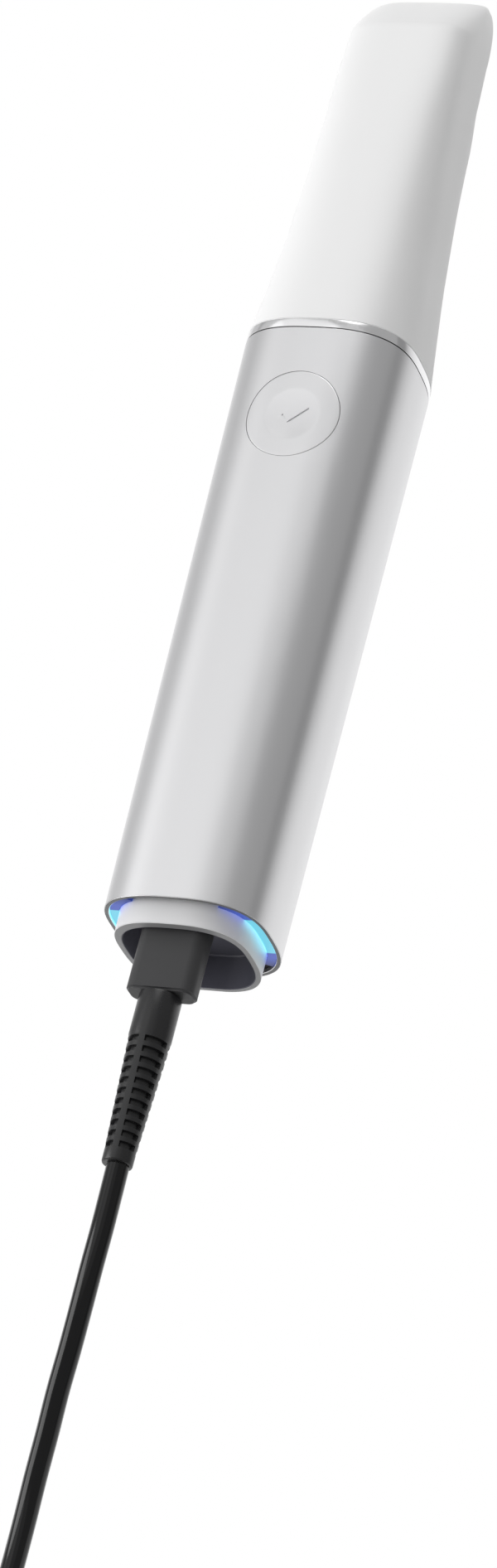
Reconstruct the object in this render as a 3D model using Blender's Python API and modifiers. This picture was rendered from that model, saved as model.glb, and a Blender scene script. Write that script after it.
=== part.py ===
"""Handheld intraoral scanner: a tapered metal handpiece with a touch disc, a pull-off tip with a
mirror and a scan window, and a plug-in cable with a slotted strain relief.

It lies on its belly: +Z is up through the button, +Y runs to the tip, and the origin is on the
surface under the middle of the handpiece. Lengths are in metres.
"""

import math

import bmesh
import bpy

MM = 0.001

# Handpiece housing. The section is a rounded square with a narrow flat belly.
BODY_LENGTH = 128.3 * MM
TAIL_WIDTH = 33.7 * MM
TAIL_HEIGHT = 33.0 * MM
COLLAR_WIDTH = 36.3 * MM
COLLAR_HEIGHT = 36.0 * MM
CROWN_ROUNDNESS = 2.7
BELLY_ROUNDNESS = 2.85
WAIST_SHARE = 0.568
BELLY_FLAT_DEPTH = 0.12 * MM
SHELL_WALL = 0.9 * MM
SEAM = 0.3 * MM
COLLAR_BAND = 1.5 * MM
SECTION_POINTS = 48
BARREL_ROWS = 7
NOSE_ROWS = 6

# Tip: a shoulder behind the collar, a slim barrel and a slanted nose over the scan window.
TIP_LENGTH = 90.7 * MM
TIP_WALL = 1.6 * MM
SHOULDER_LENGTH = 12.0 * MM
SHOULDER_WIDTH = 34.0 * MM
SHOULDER_LOW = 2.6 * MM
SHOULDER_HIGH = 34.2 * MM
SHOULDER_CROWN = 2.8
SHOULDER_BELLY = 3.0
SHOULDER_WAIST = 0.56
NECK_LENGTH = 26.0 * MM
NECK_WIDTH = 31.4 * MM
NECK_LOW = 4.7 * MM
NECK_HIGH = 33.0 * MM
NECK_CROWN = 3.1
NECK_BELLY = 3.2
NECK_WAIST = 0.54
BARREL_LENGTH = 52.0 * MM
BARREL_WIDTH = 28.6 * MM
BARREL_LOW = 7.4 * MM
BARREL_HIGH = 32.0 * MM
BARREL_CROWN = 3.6
BARREL_BELLY = 3.7
BARREL_WAIST = 0.52
CREST_SETBACK = 14.7 * MM
CREST_WIDTH = 26.9 * MM
CREST_HIGH = 30.6 * MM
NOSE_DROP = 15.0 * MM
NOSE_WIDTH = 20.0 * MM
NOSE_LIFT = 1.0 * MM
NOSE_BOW_POWER = 1.8
NOSE_STRAIGHT_SHARE = 0.70
NOSE_ROLL_POWER = 3.0
TIP_ROUNDNESS = 4.0
WINDOW_ROUNDNESS = 7.0
WINDOW_WAIST = 0.5
WINDOW_PLANE = 11.9 * MM
WINDOW_LENGTH = 20.8 * MM
WINDOW_WIDTH = 22.2 * MM
WINDOW_SETBACK = 2.3 * MM
WINDOW_CORNER = 2.6 * MM
WINDOW_MARGIN = 2.6 * MM
WINDOW_END_WIDTH = 27.6 * MM
WINDOW_END_HIGH = 31.4 * MM
CAVITY_ADVANCE = 1.2 * MM

# Mirror and its carrier in the nose.
LINER_LENGTH = 26.0 * MM
LINER_CLEARANCE = 0.3 * MM
LINER_CHEEK = 1.4 * MM
LINER_ROOF = 1.2 * MM
MIRROR_THICKNESS = 1.0 * MM
MIRROR_ANGLE = math.radians(45.0)
MIRROR_FOOT = 1.6 * MM

# Optical snout that the tip slides over.
SNOUT_SETBACK = 34.5 * MM
SNOUT_CLEARANCE = 0.35 * MM
SNOUT_SLIM = 0.75 * MM
SNOUT_WALL = 1.4 * MM
SNOUT_SEAT = 13.0 * MM
GLASS_WIDTH = 17.0 * MM
GLASS_HEIGHT = 13.0 * MM
GLASS_THICKNESS = 1.1 * MM
GLASS_LEDGE = 1.5 * MM
GLASS_EDGE = 0.2 * MM
SEAL_WIDTH = 1.6 * MM
SEAL_DEPTH = 0.7 * MM

# Optics and electronics.
BULKHEAD_THICKNESS = 6.0 * MM
LENS_RADIUS = 5.5 * MM
LENS_LENGTH = 36.0 * MM
LENS_HEIGHT = 20.2 * MM
LENS_BEHIND = 22.0 * MM
PROJECTOR_RADIUS = 3.6 * MM
PROJECTOR_LENGTH = 28.0 * MM
PROJECTOR_HEIGHT = 10.6 * MM
PROJECTOR_BEHIND = 18.0 * MM
BOARD_THICKNESS = 1.0 * MM
SENSOR_BOARD = 15.0 * MM
LED_BOX_WIDTH = 11.0 * MM
LED_BOX_LENGTH = 7.0 * MM
LED_BOX_HEIGHT = 7.2 * MM
LED_BOX_EDGE = 0.4 * MM
CHASSIS_LOW = 4.0 * MM
CHASSIS_PLATE = 1.5 * MM
CHASSIS_WIDTH = 22.0 * MM
CHASSIS_RAIL = 1.5 * MM
CHASSIS_RAIL_LENGTH = 42.0 * MM
CHASSIS_RAIL_TOP = 26.4 * MM
MAIN_BOARD_LENGTH = 66.0 * MM
MAIN_BOARD_CLEARANCE = 1.0 * MM
CHIP_HEIGHT = 1.4 * MM
CHIP_WIDTH = 11.2 * MM
CHIP_LENGTH = 9.0 * MM
CHIP_PITCH = 12.3 * MM
SPREADER_LENGTH = 34.0 * MM
SPREADER_WIDTH = 16.0 * MM
SPREADER_HEIGHT = 8.0 * MM
FIN_COUNT = 5
FIN_GAP = 1.6 * MM
FIN_DEPTH = 4.0 * MM
MOTOR_RADIUS = 3.5 * MM
MOTOR_LENGTH = 11.0 * MM
SCREW_SHANK = 0.8 * MM
SCREW_HEAD = 1.5 * MM
SCREW_HEAD_TOP = 1.2 * MM
SCREW_HEAD_SIDE = 0.6 * MM
SCREW_HEAD_HEIGHT = 1.0 * MM

# Button disc in the crown of the housing, with its silicone ring and switch.
BUTTON_FROM_COLLAR = 20.1 * MM
BUTTON_RADIUS = 9.75 * MM
BUTTON_GAP = 0.3 * MM
BUTTON_TRAVEL = 0.6 * MM
BUTTON_DISH_RADIUS = 5.8 * MM
BUTTON_DISH_DEPTH = 0.35 * MM
BUTTON_LIP = 1.1 * MM
BUTTON_UNDERSIDE = 31.0 * MM
PLUNGER_RADIUS = 2.0 * MM
PLUNGER_ROOT = 1.0 * MM
TICK_DEPTH = 0.3 * MM
TICK_STROKE = 0.35 * MM
TICK_CORNER = (-0.54 * MM, -1.78 * MM)
TICK_SHORT = 2.1 * MM
TICK_SHORT_ANGLE = math.radians(132.0)
TICK_LONG = 4.9 * MM
TICK_LONG_ANGLE = math.radians(40.0)
SWITCH_SIDE = 5.0 * MM
SWITCH_HEIGHT = 1.4 * MM
SWITCH_EDGE = 0.3 * MM
SWITCH_BOARD_LENGTH = 22.0 * MM
SILICONE_RADIUS = 6.6 * MM
SILICONE_WALL = 0.9 * MM

# Tail: white ring, dark recess, light strips and socket.
RING_STAND = 4.5 * MM
RING_INSET = 2.05 * MM
RING_WALL = 1.2 * MM
RING_DEPTH = 8.7 * MM
RING_CHAMFER = 0.4 * MM
CUP_WALL = 0.7 * MM
CUP_DEPTH = 7.0 * MM
CUP_DRAFT = 0.3 * MM
CUP_LIP = 0.4 * MM
LIGHT_THICKNESS = 0.55 * MM
LIGHT_LOW = 13.0 * MM
LIGHT_HIGH = 27.0 * MM
LIGHT_SETBACK = 0.6 * MM
LED_BOARD_WALL = 4.2 * MM

# Plug, boot and cable.
PLUG_HEIGHT = 24.4 * MM
PLUG_WIDTH = 14.0 * MM
PLUG_THICKNESS = 6.3 * MM
PLUG_OUT = 12.6 * MM
PLUG_FRONT_GAP = 0.6 * MM
PLUG_CORNER = 2.4 * MM
PLUG_EDGE = 0.5 * MM
PLUG_CORNER_STEPS = 4
TONGUE_WIDTH = 8.3 * MM
TONGUE_THICKNESS = 2.4 * MM
TONGUE_LENGTH = 6.4 * MM
TONGUE_CORNER = 0.7 * MM
SOCKET_WALL = 0.5 * MM
SOCKET_CORNER = 1.2 * MM
SOCKET_LENGTH = 8.6 * MM
BOOT_LENGTH = 36.0 * MM
BOOT_ROOT = 4.25 * MM
BOOT_END = 3.05 * MM
BOOT_PLAIN = 9.5 * MM
BOOT_COLLAR = 2.2 * MM
BOOT_EDGE = 0.4 * MM
SLOT_ROWS = 11
SLOT_WIDTH = 1.15 * MM
SLOT_DEPTH = 0.85 * MM
RIB_WIDTH = 1.2 * MM
CORD_RADIUS = 2.25 * MM
CORD_POINTS = 26
COIL_RADIUS = 20.5 * MM
COIL_STRAIGHT = 26.0 * MM
COIL_WIDE = 2
COIL_HIGH = 5
COIL_LIFT = 0.8 * MM
COIL_EDGE = 1.3 * MM
COIL_FACETS = 12
COIL_SETBACK = 15.0 * MM
TIE_WIDTH = 7.0 * MM
TIE_THICKNESS = 0.5 * MM
TAIL_RISE_START = 0.6
FAR_BOOT_LENGTH = 16.0 * MM
FAR_BOOT_PLAIN = 4.5 * MM
FAR_SLOT_ROWS = 3
AXIS_MARK = 8.0 * MM

# Stations along the handpiece.
COLLAR_SPAN = 2 * SEAM + COLLAR_BAND
OVERALL = RING_STAND + BODY_LENGTH + COLLAR_SPAN + TIP_LENGTH
RING_END_Y = -OVERALL / 2
RIM_Y = RING_END_Y + RING_STAND
COLLAR_Y = RIM_Y + BODY_LENGTH
TIP_Y = COLLAR_Y + COLLAR_SPAN
NOSE_Y = TIP_Y + TIP_LENGTH
CREST_Y = NOSE_Y - CREST_SETBACK
BULKHEAD_Y = COLLAR_Y - BULKHEAD_THICKNESS
SNOUT_Y = COLLAR_Y + SEAM
SNOUT_END_Y = NOSE_Y - SNOUT_SETBACK
BUTTON_Y = COLLAR_Y - BUTTON_FROM_COLLAR
RING_FRONT_Y = RIM_Y + RING_DEPTH
CUP_FLOOR_Y = RING_END_Y + CUP_LIP + CUP_DEPTH
LED_BOARD_Y = RING_FRONT_Y + SEAM
CHASSIS_Y = LED_BOARD_Y + BOARD_THICKNESS + SEAM
PLUG_FACE_Y = RING_END_Y - PLUG_OUT
BOOT_Y = PLUG_FACE_Y - SEAM
CORD_Y = BOOT_Y - BOOT_LENGTH - SEAM
PLUG_LENGTH = PLUG_OUT + CUP_LIP + CUP_DEPTH - PLUG_FRONT_GAP
LENS_Y = COLLAR_Y - LENS_BEHIND
PROJECTOR_Y = COLLAR_Y - PROJECTOR_BEHIND
LED_BOX_Y = PROJECTOR_Y - SEAM - LED_BOX_LENGTH
MAIN_BOARD_WIDTH = CHASSIS_WIDTH - 2 * (CHASSIS_RAIL + SEAM)
MAIN_BOARD_Y = LED_BOX_Y - MAIN_BOARD_CLEARANCE - MAIN_BOARD_LENGTH

# The cable's route from the boot to the coil in millimetres, chosen by eye: straight out, down and
# along the table.
ROUTE = [
    (0.3, CORD_Y / MM, 24.4),
    (0.35, -168.0, 24.35),
    (0.2, -175.0, 23.9),
    (-0.5, -182.0, 22.5),
    (-1.6, -189.0, 20.0),
    (-3.1, -196.5, 16.7),
    (-4.8, -204.0, 13.3),
    (-6.4, -211.5, 9.5),
    (-7.9, -219.0, 6.2),
    (-8.9, -226.5, 3.7),
    (-9.4, -234.5, 2.55),
    (-9.5, -242.0, 2.55),
    (-9.5, -250.0, 2.65),
    (-9.5, -258.5, 2.85),
]

# The coil starts where the route ends: two round ends joined by straight sides.
COIL_HALF_WIDTH = COIL_WIDE * CORD_RADIUS
COIL_TOP = COIL_LIFT + 2 * CORD_RADIUS * COIL_HIGH
COIL_X = ROUTE[-1][0] * MM + COIL_RADIUS + COIL_HALF_WIDTH - CORD_RADIUS
COIL_NEAR_Y = ROUTE[-1][1] * MM - COIL_SETBACK
COIL_FAR_Y = COIL_NEAR_Y - COIL_STRAIGHT

parts = None
cutters = None
materials = {}


def start_scene():
    """Clears the scene and makes one collection for the parts and one for the cutters."""
    global parts, cutters
    for old in list(bpy.data.objects):
        bpy.data.objects.remove(old, do_unlink=True)
    parts = bpy.data.collections.new("intraoral_scanner")
    cutters = bpy.data.collections.new("cutters")
    bpy.context.scene.collection.children.link(parts)
    bpy.context.scene.collection.children.link(cutters)


def material(name, colour, roughness, metallic=0.0):
    """A Principled material, made once."""
    if name not in materials:
        made = bpy.data.materials.new(name)
        made.use_nodes = True
        shader = made.node_tree.nodes["Principled BSDF"]
        shader.inputs["Base Color"].default_value = (*colour, 1.0)
        shader.inputs["Roughness"].default_value = roughness
        shader.inputs["Metallic"].default_value = metallic
        made.diffuse_color = (*colour, 1.0)
        materials[name] = made
    return materials[name]


def add(name, mesh, finish=None, parent=None):
    """Links a mesh as a part, or as a cutter when it has no finish."""
    obj = bpy.data.objects.new(name, mesh)
    if finish is None:
        cutters.objects.link(obj)
        obj.hide_render = True
        obj.display_type = "WIRE"
        return obj
    parts.objects.link(obj)
    obj.data.materials.append(finish)
    if parent is not None:
        obj.parent = parent
        obj.matrix_parent_inverse = parent.matrix_world.inverted()
    return obj


def axis_empty(name, location):
    """An empty on a joint's axis, which the moving pieces hang from."""
    empty = bpy.data.objects.new(name, None)
    empty.empty_display_size = AXIS_MARK
    empty.location = location
    parts.objects.link(empty)
    bpy.context.view_layer.update()
    return empty


def smooth(obj, angle=30.0):
    """Shades a round piece smooth, with its edges kept sharp."""
    obj.data.shade_smooth()
    obj.data.set_sharp_from_angle(angle=math.radians(angle))


def boolean(obj, other, operation="DIFFERENCE"):
    """Adds one Boolean to a piece, and turns the other piece into a hidden helper."""
    cut = obj.modifiers.new(other.name, "BOOLEAN")
    cut.operation = operation
    cut.solver = "EXACT"
    cut.object = other


def bevel(obj, width, segments=2, angle=40.0):
    """Rounds the edges of a piece."""
    edge = obj.modifiers.new("Edge", "BEVEL")
    edge.width = width
    edge.segments = segments
    edge.limit_method = "ANGLE"
    edge.angle_limit = math.radians(angle)


def loft(name, rings, finish=None, parent=None, hollow=False):
    """A skin through equal rings of points. It is capped at both ends, or closes on itself if hollow."""
    shape = bmesh.new()
    loops = [[shape.verts.new(point) for point in ring] for ring in rings]
    count = len(rings[0])
    pairs = list(zip(loops, loops[1:]))
    if hollow:
        pairs.append((loops[-1], loops[0]))
    for here, there in pairs:
        for i in range(count):
            after = (i + 1) % count
            shape.faces.new((here[i], here[after], there[after], there[i]))
    if not hollow:
        shape.faces.new(list(reversed(loops[0])))
        shape.faces.new(loops[-1])
    bmesh.ops.recalc_face_normals(shape, faces=shape.faces)
    mesh = bpy.data.meshes.new(name)
    shape.to_mesh(mesh)
    shape.free()
    obj = add(name, mesh, finish, parent)
    smooth(obj)
    return obj


def box(name, low, high, finish=None, parent=None):
    """A box between two corners."""
    shape = bmesh.new()
    bmesh.ops.create_cube(shape, size=1.0)
    middle = [(a + b) / 2 for a, b in zip(low, high)]
    for vertex in shape.verts:
        vertex.co = [c + v * (b - a) for c, v, a, b in zip(middle, vertex.co, low, high)]
    mesh = bpy.data.meshes.new(name)
    shape.to_mesh(mesh)
    shape.free()
    return add(name, mesh, finish, parent)


def centred_box(name, size, centre, finish=None, parent=None):
    """A box of a size about a centre."""
    low = [c - s / 2 for c, s in zip(centre, size)]
    high = [c + s / 2 for c, s in zip(centre, size)]
    return box(name, low, high, finish, parent)


def turned(name, profile, location, direction="Z", finish=None, parent=None, steps=32, ring=False):
    """A profile of (radius, height) pairs turned round an axis. A ring's profile is closed."""
    mesh = bpy.data.meshes.new(name)
    points = [(radius, 0.0, height) for radius, height in profile]
    edges = [(i, i + 1) for i in range(len(points) - 1)]
    if ring:
        edges.append((len(points) - 1, 0))
    mesh.from_pydata(points, edges, [])
    obj = add(name, mesh, finish)
    screw = obj.modifiers.new("Turn", "SCREW")
    screw.axis = "Z"
    screw.steps = steps
    screw.render_steps = steps
    screw.use_merge_vertices = True
    screw.merge_threshold = 0.01 * MM
    screw.use_smooth_shade = True
    obj.location = location
    obj.rotation_euler = {"Z": (0, 0, 0), "Y": (-math.pi / 2, 0, 0)}[direction]
    if parent is not None:
        obj.parent = parent
        obj.matrix_parent_inverse = parent.matrix_world.inverted()
    return obj


def rod(name, radius, length, location, direction="Z", finish=None, parent=None, steps=32):
    """A plain cylinder that starts at its location and runs along its axis."""
    profile = [(0.0, length), (radius, length), (radius, 0.0), (0.0, 0.0)]
    return turned(name, profile, location, direction, finish, parent, steps)


def section(half_width, low, high, crown, belly, waist, y):
    """One cross-section of the housing: two half superellipses that meet at the waist."""
    flat = low
    low = low - BELLY_FLAT_DEPTH
    middle = low + (high - low) * waist
    ring = []
    for i in range(SECTION_POINTS):
        turn = 2 * math.pi * i / SECTION_POINTS
        across = math.sin(turn)
        up = math.cos(turn)
        power = 2 / (crown if up >= 0 else belly)
        reach = high - middle if up >= 0 else middle - low
        x = half_width * math.copysign(abs(across) ** power, across)
        z = middle + reach * math.copysign(abs(up) ** power, up)
        ring.append((x, y, max(z, flat)))
    return ring


def body_section(y, inset=0.0):
    """The handpiece's section at a station, drawn in by an inset."""
    along = (y - RIM_Y) / BODY_LENGTH
    half_width = (TAIL_WIDTH + (COLLAR_WIDTH - TAIL_WIDTH) * along) / 2
    high = TAIL_HEIGHT + (COLLAR_HEIGHT - TAIL_HEIGHT) * along
    return section(half_width - inset, inset, high - inset, CROWN_ROUNDNESS, BELLY_ROUNDNESS, WAIST_SHARE, y)


def tip_rows():
    """Rows of (distance from the base, half width, low, high, crown, belly, waist) up to the crest."""
    return [
        (0.0, COLLAR_WIDTH / 2, 0.0, COLLAR_HEIGHT, CROWN_ROUNDNESS, BELLY_ROUNDNESS, WAIST_SHARE),
        (
            SHOULDER_LENGTH,
            SHOULDER_WIDTH / 2,
            SHOULDER_LOW,
            SHOULDER_HIGH,
            SHOULDER_CROWN,
            SHOULDER_BELLY,
            SHOULDER_WAIST,
        ),
        (NECK_LENGTH, NECK_WIDTH / 2, NECK_LOW, NECK_HIGH, NECK_CROWN, NECK_BELLY, NECK_WAIST),
        (BARREL_LENGTH, BARREL_WIDTH / 2, BARREL_LOW, BARREL_HIGH, BARREL_CROWN, BARREL_BELLY, BARREL_WAIST),
        (
            TIP_LENGTH - WINDOW_SETBACK - WINDOW_LENGTH - WINDOW_MARGIN,
            WINDOW_END_WIDTH / 2,
            WINDOW_PLANE,
            WINDOW_END_HIGH,
            TIP_ROUNDNESS,
            WINDOW_ROUNDNESS,
            WINDOW_WAIST,
        ),
        (
            TIP_LENGTH - CREST_SETBACK,
            CREST_WIDTH / 2,
            WINDOW_PLANE,
            CREST_HIGH,
            TIP_ROUNDNESS,
            WINDOW_ROUNDNESS,
            WINDOW_WAIST,
        ),
    ]


def through(rows, distance):
    """A smooth curve through the rows, read at one distance from the first."""
    for index in range(len(rows) - 1):
        if distance <= rows[index + 1][0]:
            break
    here, there = rows[index], rows[index + 1]
    span = there[0] - here[0]
    share = (distance - here[0]) / span
    before = rows[max(index - 1, 0)]
    after = rows[min(index + 2, len(rows) - 1)]
    values = []
    for column in range(1, len(here)):
        start = (there[column] - before[column]) / (there[0] - before[0]) * span
        end = (after[column] - here[column]) / (after[0] - here[0]) * span
        square, cube = share**2, share**3
        values.append(
            here[column] * (2 * cube - 3 * square + 1)
            + start * (cube - 2 * square + share)
            + there[column] * (3 * square - 2 * cube)
            + end * (cube - square)
        )
    return values


def tip_section(y, inset=0.0):
    """The tip's section at a station, drawn in by an inset."""
    half_width, low, high, crown, belly, waist = tip_values(y)
    return section(half_width - inset, low + inset, high - inset, crown, belly, waist, y)


def tip_values(y):
    """Half width, low, high and roundness of the tip at a station, nose included."""
    if y <= CREST_Y:
        values = through(tip_rows(), y - TIP_Y)
        values[1] = min(values[1], WINDOW_PLANE)
        return values
    crest = through(tip_rows(), CREST_Y - TIP_Y)
    share = min((y - CREST_Y) / CREST_SETBACK, 1.0)
    bow = 1 - math.sqrt(max(1 - share**NOSE_BOW_POWER, 0.0))
    half_width = crest[0] + (NOSE_WIDTH / 2 - crest[0]) * bow
    roll = 1 - math.sqrt(max(1 - share**NOSE_ROLL_POWER, 0.0))
    fall = NOSE_STRAIGHT_SHARE * share + (1 - NOSE_STRAIGHT_SHARE) * roll
    high = crest[2] - NOSE_DROP * fall
    low = crest[1] + NOSE_LIFT * bow
    return [half_width, low, high, crest[3], crest[4], crest[5]]


def tip_stations(start, end):
    """Stations of every loft in the tip: one shared grid, closer together at the nose."""
    barrel = [TIP_Y + (CREST_Y - TIP_Y) * i / BARREL_ROWS for i in range(BARREL_ROWS)]
    nose = [CREST_Y + CREST_SETBACK * math.sin(math.pi / 2 * i / NOSE_ROWS) for i in range(NOSE_ROWS)]
    between = [y for y in barrel + nose if start + SEAM < y < end - SEAM]
    return [start, *between, end]


def cavity_section(y, inset):
    """The tip's section further along towards the nose, so that the slanted wall keeps its thickness."""
    share = min(max((y - SNOUT_END_Y) / (CREST_Y - SNOUT_END_Y), 0.0), 1.0)
    source = min(max(y + CAVITY_ADVANCE * share, TIP_Y), NOSE_Y)
    return [(x, y, z) for x, _, z in tip_section(source, inset)]


def make_body_shell(frame):
    """Tapered metal tube with a round hole for the button."""
    rings = [body_section(RIM_Y), body_section(COLLAR_Y)]
    shape = bmesh.new()
    loops = [[shape.verts.new(point) for point in ring] for ring in rings]
    for i in range(SECTION_POINTS):
        after = (i + 1) % SECTION_POINTS
        shape.faces.new((loops[0][i], loops[0][after], loops[1][after], loops[1][i]))
    mesh = bpy.data.meshes.new("body_shell")
    shape.to_mesh(mesh)
    shape.free()
    shell = add("body_shell", mesh, material("satin_aluminium", (0.80, 0.80, 0.81), 0.32, 0.9), frame)
    wall = shell.modifiers.new("Wall", "SOLIDIFY")
    wall.thickness = SHELL_WALL
    wall.offset = -1.0
    wall.use_even_offset = True
    hole = rod(
        "button_hole_cutter",
        BUTTON_RADIUS + BUTTON_GAP,
        COLLAR_HEIGHT,
        (0, BUTTON_Y, COLLAR_HEIGHT / 2),
        steps=48,
    )
    boolean(shell, hole)
    smooth(shell)


def make_collar_ring(frame):
    """Polished band between the housing and the tip."""
    start = COLLAR_Y + SEAM
    end = start + COLLAR_BAND
    rings = []
    for station, inset in ((start, 0.0), (end, 0.0), (end, TIP_WALL), (start, TIP_WALL)):
        rings.append([(x, station, z) for x, _, z in body_section(COLLAR_Y, inset)])
    loft("collar_ring", rings, material("chrome", (0.85, 0.86, 0.87), 0.08, 1.0), frame, hollow=True)


def make_bulkhead(frame):
    """Plate inside the front of the shell, with bores for the two lens barrels."""
    inset = SHELL_WALL + SEAM
    rings = [body_section(BULKHEAD_Y, inset), body_section(COLLAR_Y, inset)]
    plate = loft("front_bulkhead", rings, material("black_polymer", (0.03, 0.03, 0.035), 0.5), frame)
    for name, radius, height in (
        ("lens", LENS_RADIUS, LENS_HEIGHT),
        ("projector", PROJECTOR_RADIUS, PROJECTOR_HEIGHT),
    ):
        bore = rod(
            f"{name}_bore_cutter",
            radius + SEAM,
            3 * BULKHEAD_THICKNESS,
            (0, BULKHEAD_Y - BULKHEAD_THICKNESS, height),
            "Y",
        )
        boolean(plate, bore)


def make_tip(tip_axis):
    """Pull-off sleeve: closed slanted nose, open base and a window in the underside."""
    stations = tip_stations(TIP_Y, NOSE_Y)
    sleeve = loft(
        "tip_sleeve",
        [tip_section(y) for y in stations],
        material("white_polymer", (0.90, 0.90, 0.90), 0.45),
        tip_axis,
    )
    inner_end = NOSE_Y - TIP_WALL - CAVITY_ADVANCE
    rings = [cavity_section(y, TIP_WALL) for y in tip_stations(TIP_Y, inner_end)]
    rings.insert(0, [(x, y - SEAM, z) for x, y, z in rings[0]])
    cavity = loft("tip_cavity_cutter", rings)
    boolean(sleeve, cavity)
    window_front = NOSE_Y - WINDOW_SETBACK
    window = box(
        "window_cutter",
        (-WINDOW_WIDTH / 2, window_front - WINDOW_LENGTH, 0.0),
        (WINDOW_WIDTH / 2, window_front, WINDOW_PLANE + 2 * TIP_WALL),
    )
    corner = window.modifiers.new("Corner", "BEVEL")
    corner.width = WINDOW_CORNER
    corner.segments = 4
    corner.limit_method = "ANGLE"
    boolean(sleeve, window)


def make_mirror(tip_axis):
    """Dark carrier in the nose, open below and behind, with the mirror on its slope."""
    inset = TIP_WALL + LINER_CLEARANCE
    front = NOSE_Y - TIP_WALL - CAVITY_ADVANCE - LINER_CLEARANCE
    start = front - LINER_LENGTH
    rings = []
    for y in tip_stations(start + LINER_CLEARANCE, front + LINER_CLEARANCE):
        rings.append([(x, y - LINER_CLEARANCE, z) for x, _, z in cavity_section(y, inset)])
    carrier = loft("mirror_carrier", rings, material("dark_liner", (0.05, 0.05, 0.055), 0.5), tip_axis)
    floor = box(
        "liner_floor_cutter",
        (-CREST_WIDTH, start - SEAM, 0.0),
        (CREST_WIDTH, front + SEAM, WINDOW_PLANE + TIP_WALL + LINER_CLEARANCE),
    )
    boolean(carrier, floor)
    half = CREST_WIDTH / 2 - inset - LINER_CHEEK
    roof = CREST_HIGH - inset - LINER_ROOF
    foot_z = WINDOW_PLANE + TIP_WALL + LINER_CLEARANCE
    foot_y = front - MIRROR_FOOT
    head_y = foot_y - (roof - foot_z) / math.tan(MIRROR_ANGLE)
    outline = [
        (start - SEAM, foot_z - TIP_WALL),
        (foot_y + TIP_WALL / math.tan(MIRROR_ANGLE), foot_z - TIP_WALL),
        (head_y, roof),
        (start - SEAM, roof),
    ]
    rings = [[(x, y, z) for y, z in outline] for x in (-half, half)]
    channel = loft("mirror_channel_cutter", rings)
    boolean(carrier, channel)
    slope = (math.cos(MIRROR_ANGLE), -math.sin(MIRROR_ANGLE))
    out = (-math.sin(MIRROR_ANGLE), -math.cos(MIRROR_ANGLE))
    length = (roof - foot_z) / math.sin(MIRROR_ANGLE)
    corners = []
    for along, away in (
        (SEAM + MIRROR_THICKNESS, SEAM),
        (length, SEAM),
        (length, SEAM + MIRROR_THICKNESS),
        (SEAM + MIRROR_THICKNESS, SEAM + MIRROR_THICKNESS),
    ):
        corners.append((head_y + slope[0] * along + out[0] * away, roof + slope[1] * along + out[1] * away))
    reach = half - SEAM
    rings = [[(x, y, z) for y, z in corners] for x in (-reach, reach)]
    loft("tip_mirror", rings, material("mirror_glass", (0.55, 0.56, 0.58), 0.03, 1.0), tip_axis)


def make_snout(frame):
    """Black optical snout with its glass and the seal that grips the tip."""
    inset = TIP_WALL + SNOUT_CLEARANCE

    def snout_section(y, extra):
        slim = SNOUT_SLIM if y > SNOUT_Y + SNOUT_SEAT else 0.0
        return cavity_section(y, inset + slim + extra)

    seat_end = SNOUT_Y + SNOUT_SEAT
    stations = [SNOUT_Y, *tip_stations(TIP_Y, seat_end), *tip_stations(seat_end + SNOUT_SLIM, SNOUT_END_Y)]
    finish = material("black_polymer", (0.03, 0.03, 0.035), 0.5)
    snout = loft("optical_snout", [snout_section(y, 0.0) for y in stations], finish, frame)
    hollow_end = SNOUT_END_Y - GLASS_THICKNESS - GLASS_LEDGE
    stations = [SNOUT_Y - SEAM, *tip_stations(TIP_Y, hollow_end)]
    hollow_inset = inset + SNOUT_SLIM + SNOUT_WALL
    hollow = loft("snout_hollow_cutter", [cavity_section(y, hollow_inset) for y in stations])
    boolean(snout, hollow)
    _, low, high, _, _, _ = tip_values(SNOUT_END_Y)
    middle = (low + high) / 2
    seat = centred_box(
        "glass_seat_cutter",
        (GLASS_WIDTH + 2 * SEAM, 2 * (GLASS_THICKNESS + SEAM), GLASS_HEIGHT + 2 * SEAM),
        (0, SNOUT_END_Y, middle),
    )
    boolean(snout, seat)
    opening = centred_box(
        "glass_opening_cutter",
        (
            GLASS_WIDTH - 2 * GLASS_LEDGE,
            4 * GLASS_LEDGE + 4 * GLASS_THICKNESS,
            GLASS_HEIGHT - 2 * GLASS_LEDGE,
        ),
        (0, SNOUT_END_Y, middle),
    )
    boolean(snout, opening)
    glass = centred_box(
        "nose_glass",
        (GLASS_WIDTH, GLASS_THICKNESS, GLASS_HEIGHT),
        (0, SNOUT_END_Y - GLASS_THICKNESS / 2, middle),
        material("clear_glass", (0.75, 0.80, 0.82), 0.02),
        frame,
    )
    bevel(glass, GLASS_EDGE)
    groove_y = SNOUT_Y + SNOUT_SEAT - 3 * SEAL_WIDTH
    width = SEAL_WIDTH + 2 * SEAM
    groove = groove_ring("seal_groove_cutter", snout_section, groove_y, width, -SEAM, SEAL_DEPTH + SEAM)
    boolean(snout, groove)
    seal = groove_ring("tip_seal", snout_section, groove_y + SEAM, SEAL_WIDTH, 0.0, SEAL_DEPTH)
    parts.objects.link(seal)
    cutters.objects.unlink(seal)
    seal.hide_render = False
    seal.display_type = "TEXTURED"
    seal.data.materials.append(material("silicone", (0.10, 0.10, 0.11), 0.7))
    seal.parent = frame


def groove_ring(name, ring_at, start, width, outer, inner):
    """A band round the snout between two depths below its surface."""
    rings = []
    for y, depth in ((start, outer), (start + width, outer), (start + width, inner), (start, inner)):
        rings.append(ring_at(y, depth))
    return loft(name, rings, hollow=True)


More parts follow.
